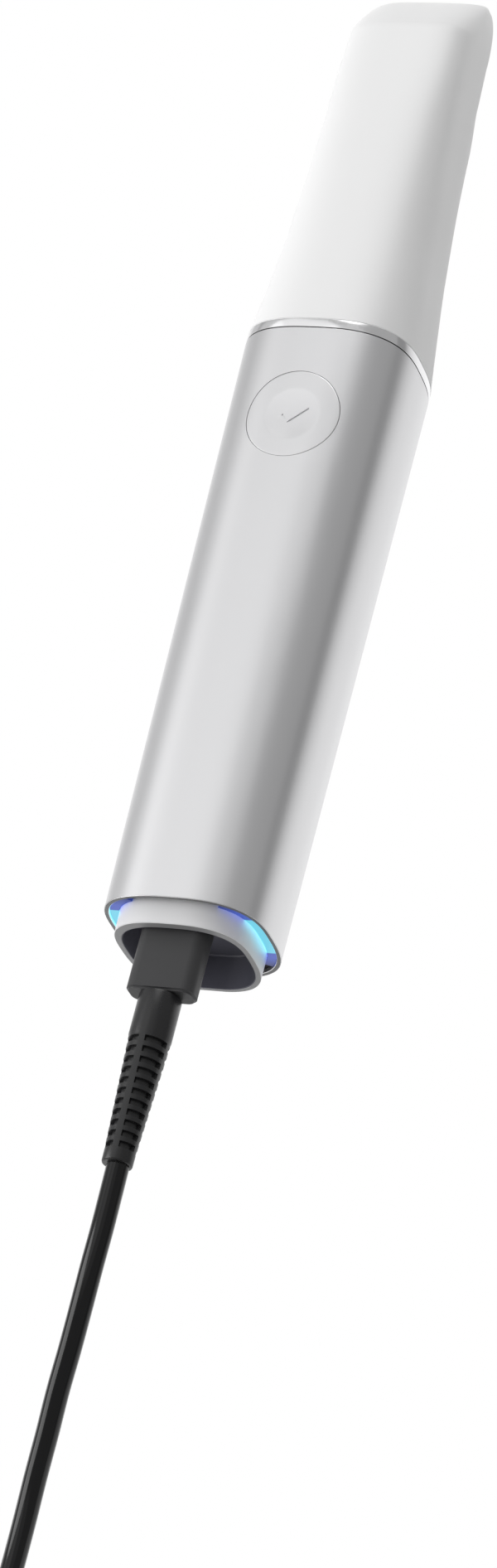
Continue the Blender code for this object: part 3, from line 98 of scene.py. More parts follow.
class ScannerSizes(bpy.types.PropertyGroup):
    """Sizes of the handpiece and its cable, most of them the solid model's own."""

    body_length: length("Body length", 128.3, "Metal housing from its rim to the collar")
    tail_width: length("Tail width", 33.7, "Width of the housing at its rim")
    tail_height: length("Tail height", 33.0, "Height of the housing at its rim")
    collar_width: length("Collar width", 36.3, "Width of the housing at the collar")
    collar_height: length("Collar height", 36.0, "Height of the housing at the collar")
    crown_roundness: plain("Crown roundness", 2.7, "Superellipse power of the upper half")
    belly_roundness: plain("Belly roundness", 2.85, "Superellipse power of the lower half")
    waist: plain("Waist", 0.568, "Height of the widest point as a share of the height")
    belly_flat: length("Belly flat", 0.12, "How deep the flat strip cuts into the belly")
    wall: length("Shell wall", 0.9, "Wall of the housing")
    shell_edge: length("Shell edge", 0.1, "Rounding of the housing's rim")
    collar_edge: length("Collar edge", 0.12, "Rounding of the housing at the collar")
    seam: length("Seam", 0.3, "Gap between neighbouring pieces")
    collar_band: length("Collar band", 1.5, "Length of the polished band")
    band_crown: length("Band crown", 0.03, "How far the polished band bulges between its edges")
    ring_stand: length("Ring stand", 4.5, "How far the end ring stands out of the rim")
    tip_length: length("Tip length", 90.7, "Pull-off tip from base to nose")
    tip_wall: length("Tip wall", 1.6, "Wall of the tip")
    tip_edge: length("Tip edge", 0.15, "Rounding of the tip's base")
    crest_setback: length("Crest setback", 14.7, "Crest of the slanted face before the nose end")
    crest_width: length("Crest width", 26.9, "Width of the tip at the crest")
    crest_high: length("Crest height", 30.6, "Top of the tip at the crest")
    nose_drop: length("Nose drop", 15.0, "Fall of the slanted face")
    nose_width: length("Nose width", 20.0, "Width of the nose end")
    nose_lift: length("Nose lift", 1.0, "Rise of the underside at the nose")
    window_plane: length("Window plane", 11.9, "Height of the underside at the window")
    window_length: length("Window length", 20.8, "Length of the scan window")
    window_width: length("Window width", 22.2, "Width of the scan window")
    window_setback: length("Window setback", 2.3, "Window's front edge before the nose end")
    window_corner: length("Window corner", 2.6, "Corner radius of the window")
    window_margin: length("Window margin", 2.6, "Flat underside before the window")
    snout_reach: length("Snout reach", 56.2, "How far the snout reaches into the tip")
    cavity_advance: length("Cavity advance", 1.2, "Shift of the inner skin towards the nose")
    button_from_collar: length("Disc from collar", 20.1, "Centre of the disc before the collar")
    button_radius: length("Disc radius", 9.75, "Radius of the disc")
    button_underside: length("Disc underside", 31.0, "Height of the disc's underside")
    dish_radius: length("Dish radius", 5.8, "Radius of the shallow dish in the disc")
    dish_depth: length("Dish depth", 0.35, "Depth of the dish")
    tick_width: length("Tick width", 0.38, "Width of the tick's groove")
    disc_lip: length("Disc lip", 1.1, "Lip that keeps the disc in the housing")
    plunger_radius: length("Plunger radius", 2.0, "Stem under the disc")
    ring_inset: length("Ring inset", 2.4, "Outer wall of the end ring inside the housing's outline")
    ring_narrow: length("Ring narrowing", 1.47, "How much more the end ring is drawn in at its sides")
    ring_side: plain("Ring side share", 0.595, "Wall of the ring's sides as a share of its top's")
    ring_belly: plain("Ring belly share", 0.4, "Wall of the ring's underside as a share of its top's")
    ring_wall: length("Ring wall", 1.9, "Wall of the end ring at its top")
    ring_depth: length("Ring depth", 8.7, "How far the end ring reaches into the housing")
    ring_edge: length("Ring edge", 0.12, "Edge of the end ring")
    cup_wall: length("Cup wall", 0.25, "Wall of the dark recess")
    cup_gap: length("Cup gap", 0.04, "Gap between the recess and the end ring")
    cup_depth: length("Cup depth", 7.4, "Floor of the recess inside the ring's end")
    cup_mouth: length("Cup mouth", 0.05, "Edge of the recess inside the ring's end")
    cup_draft: length("Cup draft", 0.05, "Taper of the recess")
    cup_edge: length("Cup edge", 0.1, "Edge of the recess's mouth")
    cup_corner: length("Cup corner", 0.4, "Round between the recess wall and its floor")
    shelf_thickness: length("Shelf thickness", 2.1, "Shelf under the socket's board")
    light_low: length("Light low", 5.0, "Lower end of the light strips")
    light_high: length("Light high", 30.6, "Upper end of the light strips")
    light_setback: length("Light setback", 0.35, "Light strips inside the housing's rim")
    light_thickness: length("Light thickness", 0.6, "Thickness of the light strips")
    light_gap: length("Light gap", 0.1, "Gap between the light strips and their neighbours")
    light_centre: length("Light centre", 18.0, "Height of the middle of the light strips")
    light_cyan: length("Cyan reach", 6.6, "How far the cyan reaches from the strip's middle")
    light_blue: length("Blue reach", 9.0, "How far the full blue reaches from the strip's middle")
    # A dark ring stands in for the shade in the gap behind the light strips.
    shade_ring_thickness: length("Shade ring thickness", 0.45, "Thickness of the gasket behind the light strips")
    line_gap: length("Parting gap", 0.09, "Visible gap round the disc and beside the polished band")
    plug_height: length("Plug height", 24.4, "Axis of the plug above the table")
    plug_width: length("Plug width", 14.0, "Width of the plug moulding")
    plug_thickness: length("Plug thickness", 6.3, "Thickness of the plug moulding")
    plug_out: length("Plug out", 12.6, "Plug moulding outside the end ring")
    plug_front_gap: length("Plug front gap", 0.6, "Plug moulding before the recess floor")
    plug_corner: length("Plug corner", 2.4, "Corner radius of the plug")
    plug_edge: length("Plug edge", 0.45, "Rounding of the plug's outer end")
    plug_lead: length("Plug lead", 0.4, "Rounding of the plug's inner end")
    boot_length: length("Boot length", 36.0, "Slotted strain relief")
    boot_root: length("Boot root", 4.25, "Radius of the strain relief at the plug")
    boot_end: length("Boot end", 3.05, "Radius of the strain relief at the cable")
    boot_plain: length("Boot plain part", 9.5, "Part without slots")
    boot_collar: length("Boot collar", 2.2, "Part without slots at the cable")
    slot_width: length("Slot width", 1.15, "Width of a slot")
    slot_depth: length("Slot depth", 0.85, "Depth of a slot")
    rib_width: length("Rib width", 1.25, "Width of a long rib")
    slot_rows: whole("Slot rows", 11, "Rows of slots along the strain relief")
    cord_radius: length("Cable radius", 2.25, "Radius of the cable")
    coil_radius: length("Coil radius", 20.5, "Radius of the coil's round ends at the middle of the turns")
    coil_straight: length("Coil straight", 26.0, "Straight sides of the coil")
    coil_setback: length("Coil setback", 15.0, "Centre of the coil's near end beyond the route's end")
    coil_lift: length("Coil lift", 0.8, "Height of the lowest turn over the table")
    coil_wide: whole("Coil columns", 2, "Turns beside each other")
    coil_high: whole("Coil levels", 5, "Turns on each other")
    coil_steps: whole("Coil steps", 28, "Points round each end of the coil")
    strap_width: length("Strap width", 7.0, "Width of the woven strap")
    strap_thickness: length("Strap thickness", 0.5, "Thickness of the woven strap")
    far_boot_length: length("Far boot length", 16.0, "Strain relief of the far plug")
    far_boot_plain: length("Far boot plain part", 4.5, "Part without slots on the far boot")
    far_slot_rows: whole("Far slot rows", 3, "Rows of slots on the far boot")
    cord_length: length("Cable length", 2020.0, "Whole length of the cable")


class ScannerColours(bpy.types.PropertyGroup):
    """Base colours of the finishes."""

    satin_metal: colour("Satin metal", (0.80, 0.80, 0.81), "Housing and disc")
    chrome: colour("Chrome", (0.96, 0.96, 0.97), "Collar band")
    tip_white: colour("Tip white", (0.92, 0.92, 0.92), "Pull-off tip")
    ring_white: colour("Ring white", (0.80, 0.80, 0.81), "End ring")
    # The next two colours are painted shade: darker copies of the housing's metal and of the end ring's
    # white, for their end faces.
    painted_rim_shade: colour("Painted rim shade", (0.20, 0.20, 0.20), "End face of the housing")
    painted_ring_shade: colour("Ring face", (0.34, 0.34, 0.345), "End face of the end ring")
    recess_slate: colour("Recess slate", (0.10, 0.10, 0.125), "Recess")
    black_polymer: colour("Black polymer", (0.02, 0.02, 0.022), "Inner mouldings")
    plug_black: colour("Plug black", (0.062, 0.062, 0.064), "Plug")
    boot_black: colour("Boot black", (0.016, 0.016, 0.017), "Strain relief")
    cable_black: colour("Cable black", (0.003, 0.003, 0.0035), "Cable jacket")
    steel: colour("Steel", (0.62, 0.62, 0.64), "Tongues, screws, switch and motor")
    silicone: colour("Silicone", (0.05, 0.05, 0.055), "Seal ring and return ring")
    barrel_black: colour("Barrel black", (0.02, 0.02, 0.023), "Optical barrels")
    cast_metal: colour("Cast metal", (0.42, 0.43, 0.45), "Chassis and light box")
    milled_metal: colour("Milled metal", (0.70, 0.71, 0.72), "Heat spreader")
    board_green: colour("Board green", (0.02, 0.14, 0.07), "Circuit boards")
    light_middle: colour("Light middle", (0.147, 0.56, 0.72), "Middle of the light strips")
    light_end: colour("Light end", (0.05, 0.09, 0.42), "Ends of the light strips")


def sizes():
    """The sizes that the scene holds."""
    return bpy.context.scene.scanner_sizes


def colours():
    """The colours that the scene holds."""
    return bpy.context.scene.scanner_colours


def stations():
    """Places along the handpiece, from the tail to the nose."""
    s = sizes()
    span = 2 * s.seam + s.collar_band
    overall = s.ring_stand + s.body_length + span + s.tip_length
    ring_end = -overall / 2
    rim = ring_end + s.ring_stand
    collar = rim + s.body_length
    tip = collar + span
    nose = tip + s.tip_length
    return {
        "ring_end": ring_end,
        "rim": rim,
        "collar": collar,
        "tip": tip,
        "nose": nose,
        "crest": nose - s.crest_setback,
        "button": collar - s.button_from_collar,
        "ring_front": rim + s.ring_depth,
        "cup_floor": ring_end + s.cup_depth,
        "plug_face": ring_end - s.plug_out,
    }


def section(half_width, low, high, crown, belly, waist, y, count=160):
    """A cross-section of two half superellipses that meet at the waist, with a flat on the belly."""
    flat = low
    low = low - sizes().belly_flat
    middle = low + (high - low) * waist
    ring = []
    for i in range(count):
        turn = 2 * math.pi * i / count
        across, up = math.sin(turn), math.cos(turn)
        power = crown if up >= 0 else belly
        reach = high - middle if up >= 0 else middle - low
        radius = (abs(across) ** power + abs(up) ** power) ** (-1 / power)
        ring.append((half_width * radius * across, y, max(middle + reach * radius * up, flat)))
    return ring


def body_values(y):
    """The housing's half width and height at a station."""
    s = sizes()
    along = (y - stations()["rim"]) / s.body_length
    half_width = (s.tail_width + (s.collar_width - s.tail_width) * along) / 2
    return half_width, s.tail_height + (s.collar_height - s.tail_height) * along


def body_section(y, inset=0.0, place=None):
    """The housing's section at a station, drawn in by an inset and moved to another station if asked."""
    s = sizes()
    half_width, high = body_values(y)
    shape = (s.crown_roundness, s.belly_roundness, s.waist)
    return section(half_width - inset, inset, high - inset, *shape, y if place is None else place)


def tail_section(y, inset):
    """The section of the end ring and the recess, a little narrower than the housing's."""
    s = sizes()
    half_width, high = body_values(y)
    half_width -= s.ring_narrow + s.ring_side * inset
    low = inset - (1 - s.ring_belly) * min(max(inset - s.ring_inset, 0.0), s.ring_wall)
    return section(half_width, low, high - inset, s.crown_roundness, s.belly_roundness, s.waist, y)


def tip_rows():
    """Distance from the base, half width, low, high, crown, belly and waist, up to the crest."""
    s = sizes()
    window_end = s.tip_length - s.window_setback - s.window_length - s.window_margin
    return [
        (0.0, s.collar_width / 2, 0.0, s.collar_height, s.crown_roundness, s.belly_roundness, s.waist),
        (12.0 * MM, 17.0 * MM, 2.6 * MM, 34.2 * MM, 2.8, 3.0, 0.56),
        (26.0 * MM, 15.7 * MM, 4.7 * MM, 33.0 * MM, 3.1, 3.2, 0.54),
        (52.0 * MM, 14.3 * MM, 7.4 * MM, 32.0 * MM, 3.6, 3.7, 0.52),
        (window_end, 13.8 * MM, s.window_plane, 31.4 * MM, 4.0, 7.0, 0.5),
        (s.tip_length - s.crest_setback, s.crest_width / 2, s.window_plane, s.crest_high, 4.0, 7.0, 0.5),
    ]


def through(rows, distance):
    """A smooth curve through the rows, read at one distance from the first."""
    for index in range(len(rows) - 1):
        if distance <= rows[index + 1][0]:
            break
    here, there = rows[index], rows[index + 1]
    span = there[0] - here[0]
    share = (distance - here[0]) / span
    before = rows[max(index - 1, 0)]
    after = rows[min(index + 2, len(rows) - 1)]
    square, cube = share**2, share**3
    values = []
    for column in range(1, len(here)):
        start = (there[column] - before[column]) / (there[0] - before[0]) * span
        end = (after[column] - here[column]) / (after[0] - here[0]) * span
        values.append(
            here[column] * (2 * cube - 3 * square + 1)
            + start * (cube - 2 * square + share)
            + there[column] * (3 * square - 2 * cube)
            + end * (cube - square)
        )
    return values


# Powers of the nose's outline from above and of the round at the end of its slant, and the share of the
# slant that is straight.
NOSE_OUTLINE, NOSE_ROUND, NOSE_STRAIGHT = 1.8, 3.0, 0.7


def tip_values(y):
    """The tip's half width, low, high, crown, belly and waist at a station."""
    s = sizes()
    at = stations()
    if y <= at["crest"]:
        values = through(tip_rows(), y - at["tip"])
        values[1] = min(values[1], s.window_plane)
        return values
    crest = through(tip_rows(), at["crest"] - at["tip"])
    share = min((y - at["crest"]) / s.crest_setback, 1.0)
    bow = 1 - math.sqrt(max(1 - share**NOSE_OUTLINE, 0.0))
    curl = 1 - math.sqrt(max(1 - share**NOSE_ROUND, 0.0))
    steep = NOSE_STRAIGHT * share + (1 - NOSE_STRAIGHT) * curl
    half_width = crest[0] + (s.nose_width / 2 - crest[0]) * bow
    return [half_width, crest[1] + s.nose_lift * bow, crest[2] - s.nose_drop * steep, *crest[3:]]


def tip_section(y, inset=0.0, place=None):
    """The tip's section at a station, drawn in by an inset."""
    half_width, low, high, *shape = tip_values(y)
    return section(half_width - inset, low + inset, high - inset, *shape, y if place is None else place)


def smooth(mesh, sharp=35.0):
    """Smooth shading with sharp edges past an angle in degrees."""
    mesh.shade_smooth()
    mesh.set_sharp_from_angle(angle=math.radians(sharp))


def skin(name, rings, closed=False, sharp=35.0):
    """A mesh through equal rings of points. It closes on itself, or is capped at both ends."""
    count = len(rings[0])
    points = [point for ring in rings for point in ring]
    total = len(rings)
    faces = []
    for row in range(total if closed else total - 1):
        here, there = row * count, (row + 1) % total * count
        for i in range(count):
            after = (i + 1) % count
            faces.append((here + i, here + after, there + after, there + i))
    if not closed:
        faces.append(tuple(reversed(range(count))))
        faces.append(tuple(range((total - 1) * count, total * count)))
    mesh = bpy.data.meshes.new(name)
    mesh.from_pydata(points, [], faces)
    shape = bmesh.new()
    shape.from_mesh(mesh)
    bmesh.ops.recalc_face_normals(shape, faces=shape.faces)
    shape.to_mesh(mesh)
    shape.free()
    obj = bpy.data.objects.new(name, mesh)
    bpy.context.scene.collection.objects.link(obj)
    smooth(mesh, sharp)
    return obj


def circle(radius, centre_y, height, count=128):
    """A ring round an upright axis over the handpiece's middle. Its height is a function of x and y."""
    ring = []
    for i in range(count):
        turn = 2 * math.pi * i / count
        x, y = radius * math.cos(turn), centre_y + radius * math.sin(turn)
        ring.append((x, y, height(x, y)))
    return ring


def fillet(radius, steps=4):
    """A quarter round as (inset, distance from the end), from the end face to the side."""
    turns = [math.pi / 2 * i / steps for i in range(steps + 1)]
    return [(radius * math.cos(turn), radius * math.sin(turn)) for turn in turns]


def baked(obj):
    """Replaces a piece's modifiers by their result."""
    graph = bpy.context.evaluated_depsgraph_get()
    mesh = bpy.data.meshes.new_from_object(obj.evaluated_get(graph))
    obj.modifiers.clear()
    obj.data = mesh
    smooth(mesh)


def cut(obj, tool):
    """Cuts a piece with another one, which is then removed."""
    modifier = obj.modifiers.new("Cut", "BOOLEAN")
    modifier.operation = "DIFFERENCE"
    modifier.solver = "EXACT"
    modifier.object = tool
    baked(obj)
    bpy.data.objects.remove(tool, do_unlink=True)


def box(name, low, high):
    """A box between two corners."""
    corners = [(low[0], low[2]), (high[0], low[2]), (high[0], high[2]), (low[0], high[2])]
    return skin(name, [[(x, y, z) for x, z in corners] for y in (low[1], high[1])])


def place(obj, finish, body, slot, *nodes):
    """Gives a piece its finish and its body, and hides the solids that it stands for. The slot is not used.
    """
    obj.data.materials.clear()
    obj.data.materials.append(finish)
    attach(obj, body)
    if nodes:
        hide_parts(*nodes)
    return obj


def finish_node(node, finish):
    """Gives a solid of the frame a finish."""
    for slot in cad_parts[node].material_slots:
        slot.material = finish


def finish_end(obj, finish, y):
    """Gives the faces that look out of the tail end, near a station, a darker finish of their own, as
    painted shade.
    """
    obj.data.materials.append(finish)
    for face in obj.data.polygons:
        if face.normal.y < -0.9 and abs(face.center.y - y) < 0.1 * MM:
            face.material_index = len(obj.data.materials) - 1


class Nodes:
    """Short calls for building a node tree."""

    def __init__(self, tree):
        self.tree = tree

    def add(self, kind, inputs=None, **settings):
        node = self.tree.nodes.new(kind)
        for name, value in settings.items():
            setattr(node, name, value)
        self.wire(node, inputs or {})
        return node

    def feed(self, socket, value):
        if isinstance(value, bpy.types.NodeSocket):
            self.tree.links.new(value, socket)
        else:
            socket.default_value = value

    def wire(self, node, inputs):
        for name, value in inputs.items():
            self.feed(node.inputs[name], value)

    def math(self, operation, first, second=0.0, clamp=False):
        node = self.add("ShaderNodeMath", {0: first, 1: second}, operation=operation)
        node.use_clamp = clamp
        return node.outputs[0]

    def mix(self, factor, first, second, blend="MIX"):
        inputs = {0: factor, 6: first, 7: second}
        return self.add("ShaderNodeMix", inputs, data_type="RGBA", blend_type=blend).outputs[2]

    def noise(self, vector, scale, detail=3.0, roughness=0.5, distortion=0.0):
        inputs = {"Vector": vector, "Scale": scale, "Detail": detail, "Roughness": roughness}
        inputs["Distortion"] = distortion
        return self.add("ShaderNodeTexNoise", inputs).outputs["Fac"]

    def band(self, value, low, high, start=0.0, end=1.0):
        inputs = {"Value": value, "From Min": low, "From Max": high, "To Min": start, "To Max": end}
        return self.add("ShaderNodeMapRange", inputs, clamp=True).outputs["Result"]

    def camera_ray(self):
        return self.add("ShaderNodeLightPath").outputs["Is Camera Ray"]

    def coordinates(self):
        return self.add("ShaderNodeTexCoord").outputs["Object"]


def new_group(name, inputs, outputs):
    """An empty node group, its helper and its inner sockets. Inputs are (name, kind, default)."""
    group = bpy.data.node_groups.new(name, "ShaderNodeTree")
    for label, kind, default in inputs:
        socket = group.interface.new_socket(label, in_out="INPUT", socket_type=f"NodeSocket{kind}")
        socket.default_value = default
    for label, kind in outputs:
        group.interface.new_socket(label, in_out="OUTPUT", socket_type=f"NodeSocket{kind}")
    n = Nodes(group)
    return group, n, n.add("NodeGroupInput").outputs, n.add("NodeGroupOutput")


def grain_group():
    """Fine surface grain, broad mottling and faint handling marks, shared by the grained finishes."""
    if "Surface Grain" in bpy.data.node_groups:
        return bpy.data.node_groups["Surface Grain"]
    group, n, given, made = new_group(
        "Surface Grain",
        (
            ("Colour", "Color", (0.8, 0.8, 0.8, 1.0)),
            ("Roughness", "Float", 0.4),
            ("Grain Scale", "Float", 3000.0),
            ("Mottle", "Float", 0.03),
            ("Marks", "Float", 0.05),
        ),
        (("Colour", "Color"), ("Roughness", "Float"), ("Height", "Float")),
    )
    at = n.coordinates()
    fine = n.noise(at, given["Grain Scale"], 4.0, 0.6)
    broad = n.noise(at, 55.0, 3.0)
    streak = n.add("ShaderNodeMapping", {"Vector": at, "Scale": (260.0, 40.0, 260.0)}).outputs[0]
    wiped = n.noise(streak, 1.0, 5.0, 0.65, 0.6)
    swing = n.math("MULTIPLY", n.math("SUBTRACT", broad, 0.5), given["Mottle"])
    tint = n.math("ADD", 1.0, n.math("MULTIPLY", swing, 2.0))
    grey = n.add("ShaderNodeCombineColor", {0: tint, 1: tint, 2: tint}).outputs[0]
    colour_out = n.mix(1.0, given["Colour"], grey, "MULTIPLY")
    marks = n.math("MULTIPLY", n.math("SUBTRACT", n.band(wiped, 0.35, 0.7), 0.5), given["Marks"])
    speckle = n.math("MULTIPLY", n.math("SUBTRACT", fine, 0.5), 0.06)
    rough = n.math("ADD", given["Roughness"], n.math("ADD", marks, speckle), clamp=True)
    n.wire(made, {"Colour": colour_out, "Roughness": rough, "Height": fine})
    return group


def board_group():
    """Printed tracks, pads and small parts of a circuit board."""
    if "Board Print" in bpy.data.node_groups:
        return bpy.data.node_groups["Board Print"]
    group, n, given, made = new_group(
        "Board Print",
        (("Colour", "Color", (0.02, 0.14, 0.07, 1.0)), ("Pitch", "Float", 700.0)),
        (("Colour", "Color"), ("Roughness", "Float"), ("Metallic", "Float"), ("Height", "Float")),
    )
    at = n.coordinates()
    cells = n.add("ShaderNodeTexVoronoi", {"Vector": at, "Scale": given["Pitch"]}, distance="CHEBYCHEV")
    pads = n.math("LESS_THAN", cells.outputs["Distance"], 0.18)
    wave = n.add(
        "ShaderNodeTexWave",
        {"Vector": at, "Scale": n.math("MULTIPLY", given["Pitch"], 0.35), "Distortion": 3.0, "Detail": 0.0},
        bands_direction="DIAGONAL",
    )
    tracks = n.math("GREATER_THAN", wave.outputs["Fac"], 0.82)
    chips = n.math("GREATER_THAN", n.noise(at, 110.0, 0.0), 0.62)
    lighter = n.mix(1.0, given["Colour"], (1.8, 1.6, 1.7, 1.0), "MULTIPLY")
    painted = n.mix(n.math("MULTIPLY", tracks, 0.7), given["Colour"], lighter)
    painted = n.mix(chips, painted, (0.012, 0.012, 0.013, 1.0))
    painted = n.mix(pads, painted, (0.75, 0.62, 0.32, 1.0))
    smoothness = n.band(pads, 0.0, 1.0, 0.42, 0.25)
    height = n.math("ADD", n.math("MULTIPLY", tracks, 0.3), chips)
    n.wire(made, {"Colour": painted, "Roughness": smoothness, "Metallic": pads, "Height": height})
    return group


def dust_group():
    """A film of fine dust on a clear or mirrored surface."""
    if "Fine Dust" in bpy.data.node_groups:
        return bpy.data.node_groups["Fine Dust"]
    group, n, given, made = new_group(
        "Fine Dust",
        (
            ("Clean", "Color", (0.8, 0.8, 0.8, 1.0)),
            ("Dusty", "Color", (0.9, 0.9, 0.9, 1.0)),
            ("Dust Scale", "Float", 1000.0),
            ("Dust Start", "Float", 0.3),
            ("Dust End", "Float", 0.8),
            ("Dusty Roughness", "Float", 0.08),
        ),
        (("Colour", "Color"), ("Roughness", "Float")),
    )
    dust = n.noise(n.coordinates(), given["Dust Scale"], 5.0)
    rough = n.band(dust, given["Dust Start"], given["Dust End"], 0.02, given["Dusty Roughness"])
    n.wire(made, {"Colour": n.mix(dust, given["Clean"], given["Dusty"]), "Roughness": rough})
    return group


def base_material(name):
    """A material and its tree's helper and Principled node."""
    made = bpy.data.materials.new(f"{name}_finish")
    made.use_nodes = True
    return made, Nodes(made.node_tree), made.node_tree.nodes["Principled BSDF"]


# Colour, roughness, metallic, grain scale, grain depth in millimetres, mottle, marks and specular level.
GRAINED = {
    "satin_metal": ("satin_metal", 0.33, 0.92, 6000.0, 0.006, 0.01, 0.03, 0.5),
    "collar_chrome": ("chrome", 0.16, 1.0, 1500.0, 0.002, 0.01, 0.04, 0.5),
    "tip_white": ("tip_white", 0.42, 0.0, 4500.0, 0.008, 0.01, 0.04, 0.5),
    "ring_white": ("ring_white", 0.36, 0.0, 4200.0, 0.008, 0.01, 0.03, 0.5),
    # The next two rows are painted shade: the end faces of the ring and the housing drawn darker than their
    # own finishes.
    "painted_ring_shade": ("painted_ring_shade", 0.5, 0.0, 4500.0, 0.01, 0.02, 0.03, 0.5),
    "painted_rim_shade": ("painted_rim_shade", 0.5, 0.3, 5000.0, 0.01, 0.02, 0.03, 0.5),
    "recess_slate": ("recess_slate", 0.36, 0.0, 3800.0, 0.01, 0.05, 0.05, 0.5),
    "plug_black": ("plug_black", 0.42, 0.0, 3500.0, 0.02, 0.05, 0.06, 0.2),
    "boot_black": ("boot_black", 0.30, 0.0, 2800.0, 0.02, 0.05, 0.06, 0.5),
    "cable_jacket": ("cable_black", 0.13, 0.0, 2200.0, 0.004, 0.05, 0.05, 0.4),
    "inner_polymer": ("black_polymer", 0.5, 0.0, 2600.0, 0.02, 0.05, 0.06, 0.4),
    "liner_dark": ("black_polymer", 0.5, 0.0, 2200.0, 0.02, 0.05, 0.06, 0.4),
    # Painted shade: the dark ring in the gap behind the light strips.
    "shade_ring_black": ("black_polymer", 0.6, 0.0, 2400.0, 0.02, 0.05, 0.06, 0.2),
    "plug_steel": ("steel", 0.28, 1.0, 2500.0, 0.01, 0.04, 0.1, 0.5),
    "silicone": ("silicone", 0.7, 0.0, 1800.0, 0.02, 0.05, 0.1, 0.5),
    "barrel_black": ("barrel_black", 0.35, 0.5, 2500.0, 0.02, 0.04, 0.08, 0.5),
    "cast_metal": ("cast_metal", 0.5, 0.9, 1400.0, 0.05, 0.08, 0.12, 0.5),
    "milled_metal": ("milled_metal", 0.36, 1.0, 2600.0, 0.03, 0.05, 0.15, 0.5),
}


def grained(name):
    """A finish with the shared grain, made once from its row of the table."""
    made = bpy.data.materials.get(f"{name}_finish")
    if made:
        return made
    base, roughness, metallic, scale, depth, mottle, marks, shine = GRAINED[name]
    made, n, shader = base_material(name)
    grain = n.add("ShaderNodeGroup", node_tree=grain_group())
    n.wire(grain, {"Colour": (*getattr(colours(), base), 1.0), "Roughness": roughness})
    n.wire(grain, {"Grain Scale": scale, "Mottle": mottle, "Marks": marks})
    height = grain.outputs["Height"]
    bump = n.add("ShaderNodeBump", {"Height": height, "Distance": depth * MM, "Strength": 0.6})
    n.wire(shader, {"Base Color": grain.outputs["Colour"], "Roughness": grain.outputs["Roughness"]})
    n.wire(shader, {"Normal": bump.outputs[0], "Metallic": metallic, "Specular IOR Level": shine})
    return made


def board_material():
    """Green solder resist with its print."""
    made, n, shader = base_material("circuit_board")
    board = n.add("ShaderNodeGroup", node_tree=board_group())
    n.feed(board.inputs["Colour"], (*colours().board_green, 1.0))
    bump = n.add("ShaderNodeBump", {"Height": board.outputs["Height"], "Distance": 0.1 * MM})
    n.wire(shader, {"Base Color": board.outputs["Colour"], "Roughness": board.outputs["Roughness"]})
    n.wire(shader, {"Metallic": board.outputs["Metallic"], "Normal": bump.outputs[0]})
    return made


# Lengths over which the strips' cyan turns blue and their blue turns dark, and how much more light they
# throw on the ring than they show.
CYAN_FADE, BLUE_FADE, SPILL = 0.4 * MM, 4.5 * MM, 3.0
UNLIT = (0.012, 0.014, 0.04, 1.0)


def light_material():
    """Frosted strip, cyan in the middle and blue towards its ends."""
    made, n, shader = base_material("light_strip")
    s, c = sizes(), colours()
    height = n.add("ShaderNodeSeparateXYZ", {0: n.coordinates()}).outputs["Z"]
    away = n.math("ABSOLUTE", n.math("SUBTRACT", height, s.light_centre))
    grain = n.noise(n.coordinates(), 1500.0, 2.0)
    blue = n.band(away, s.light_cyan, s.light_cyan + CYAN_FADE)
    glow = n.mix(blue, (*c.light_middle, 1.0), (*c.light_end, 1.0))
    dark = n.band(away, s.light_blue, s.light_blue + BLUE_FADE)
    glow = n.mix(dark, glow, UNLIT)
    spread = n.mix(1.0, glow, (SPILL, SPILL, SPILL, 1.0), "MULTIPLY")
    n.wire(shader, {
        "Base Color": n.mix(0.9, glow, (0.0, 0.0, 0.0, 1.0)),
        "Roughness": n.band(grain, 0.0, 1.0, 0.3, 0.45),
        "Emission Color": n.mix(n.camera_ray(), spread, glow),
        "Emission Strength": 1.0,
    })
    return made


def weave_material():
    """Woven hook-and-loop tape."""
    made, n, shader = base_material("tie_weave")
    at = n.coordinates()
    parts = n.add("ShaderNodeSeparateXYZ", {0: at}).outputs
    warp = n.math("SINE", n.math("MULTIPLY", n.math("ADD", parts["X"], parts["Z"]), 9000.0))
    weft = n.math("SINE", n.math("MULTIPLY", n.math("SUBTRACT", parts["Y"], parts["Z"]), 9000.0))
    woven = n.math("MULTIPLY", warp, weft)
    height = n.math("ADD", n.math("MULTIPLY", woven, 0.5), n.noise(at, 4000.0, 4.0))
    tint = n.mix(n.band(height, 0.0, 1.5), (0.012, 0.012, 0.013, 1.0), (0.055, 0.055, 0.06, 1.0))
    bump = n.add("ShaderNodeBump", {"Height": height, "Distance": 0.15 * MM})
    n.wire(shader, {"Base Color": tint, "Normal": bump.outputs[0], "Roughness": 0.9, "Sheen Weight": 0.3})
    return made


def dusty_material(name, clean, dusty, scale, start, end, roughness):
    """A material with a film of dust, and its tree's helper and Principled node."""
    made, n, shader = base_material(name)
    film = n.add("ShaderNodeGroup", node_tree=dust_group())
    n.wire(film, {"Clean": (*clean, 1.0), "Dusty": (*dusty, 1.0), "Dust Scale": scale})
    n.wire(film, {"Dust Start": start, "Dust End": end, "Dusty Roughness": roughness})
    n.wire(shader, {"Base Color": film.outputs["Colour"], "Roughness": film.outputs["Roughness"]})
    return made, n, shader


def glass_material():
    """Coated glass of the nose window."""
    clean, dusty = (0.75, 0.82, 0.86), (0.82, 0.86, 0.88)
    made, n, shader = dusty_material("coated_glass", clean, dusty, 900.0, 0.3, 0.8, 0.08)
    n.wire(shader, {"Transmission Weight": 0.9, "IOR": 1.5})
    return made


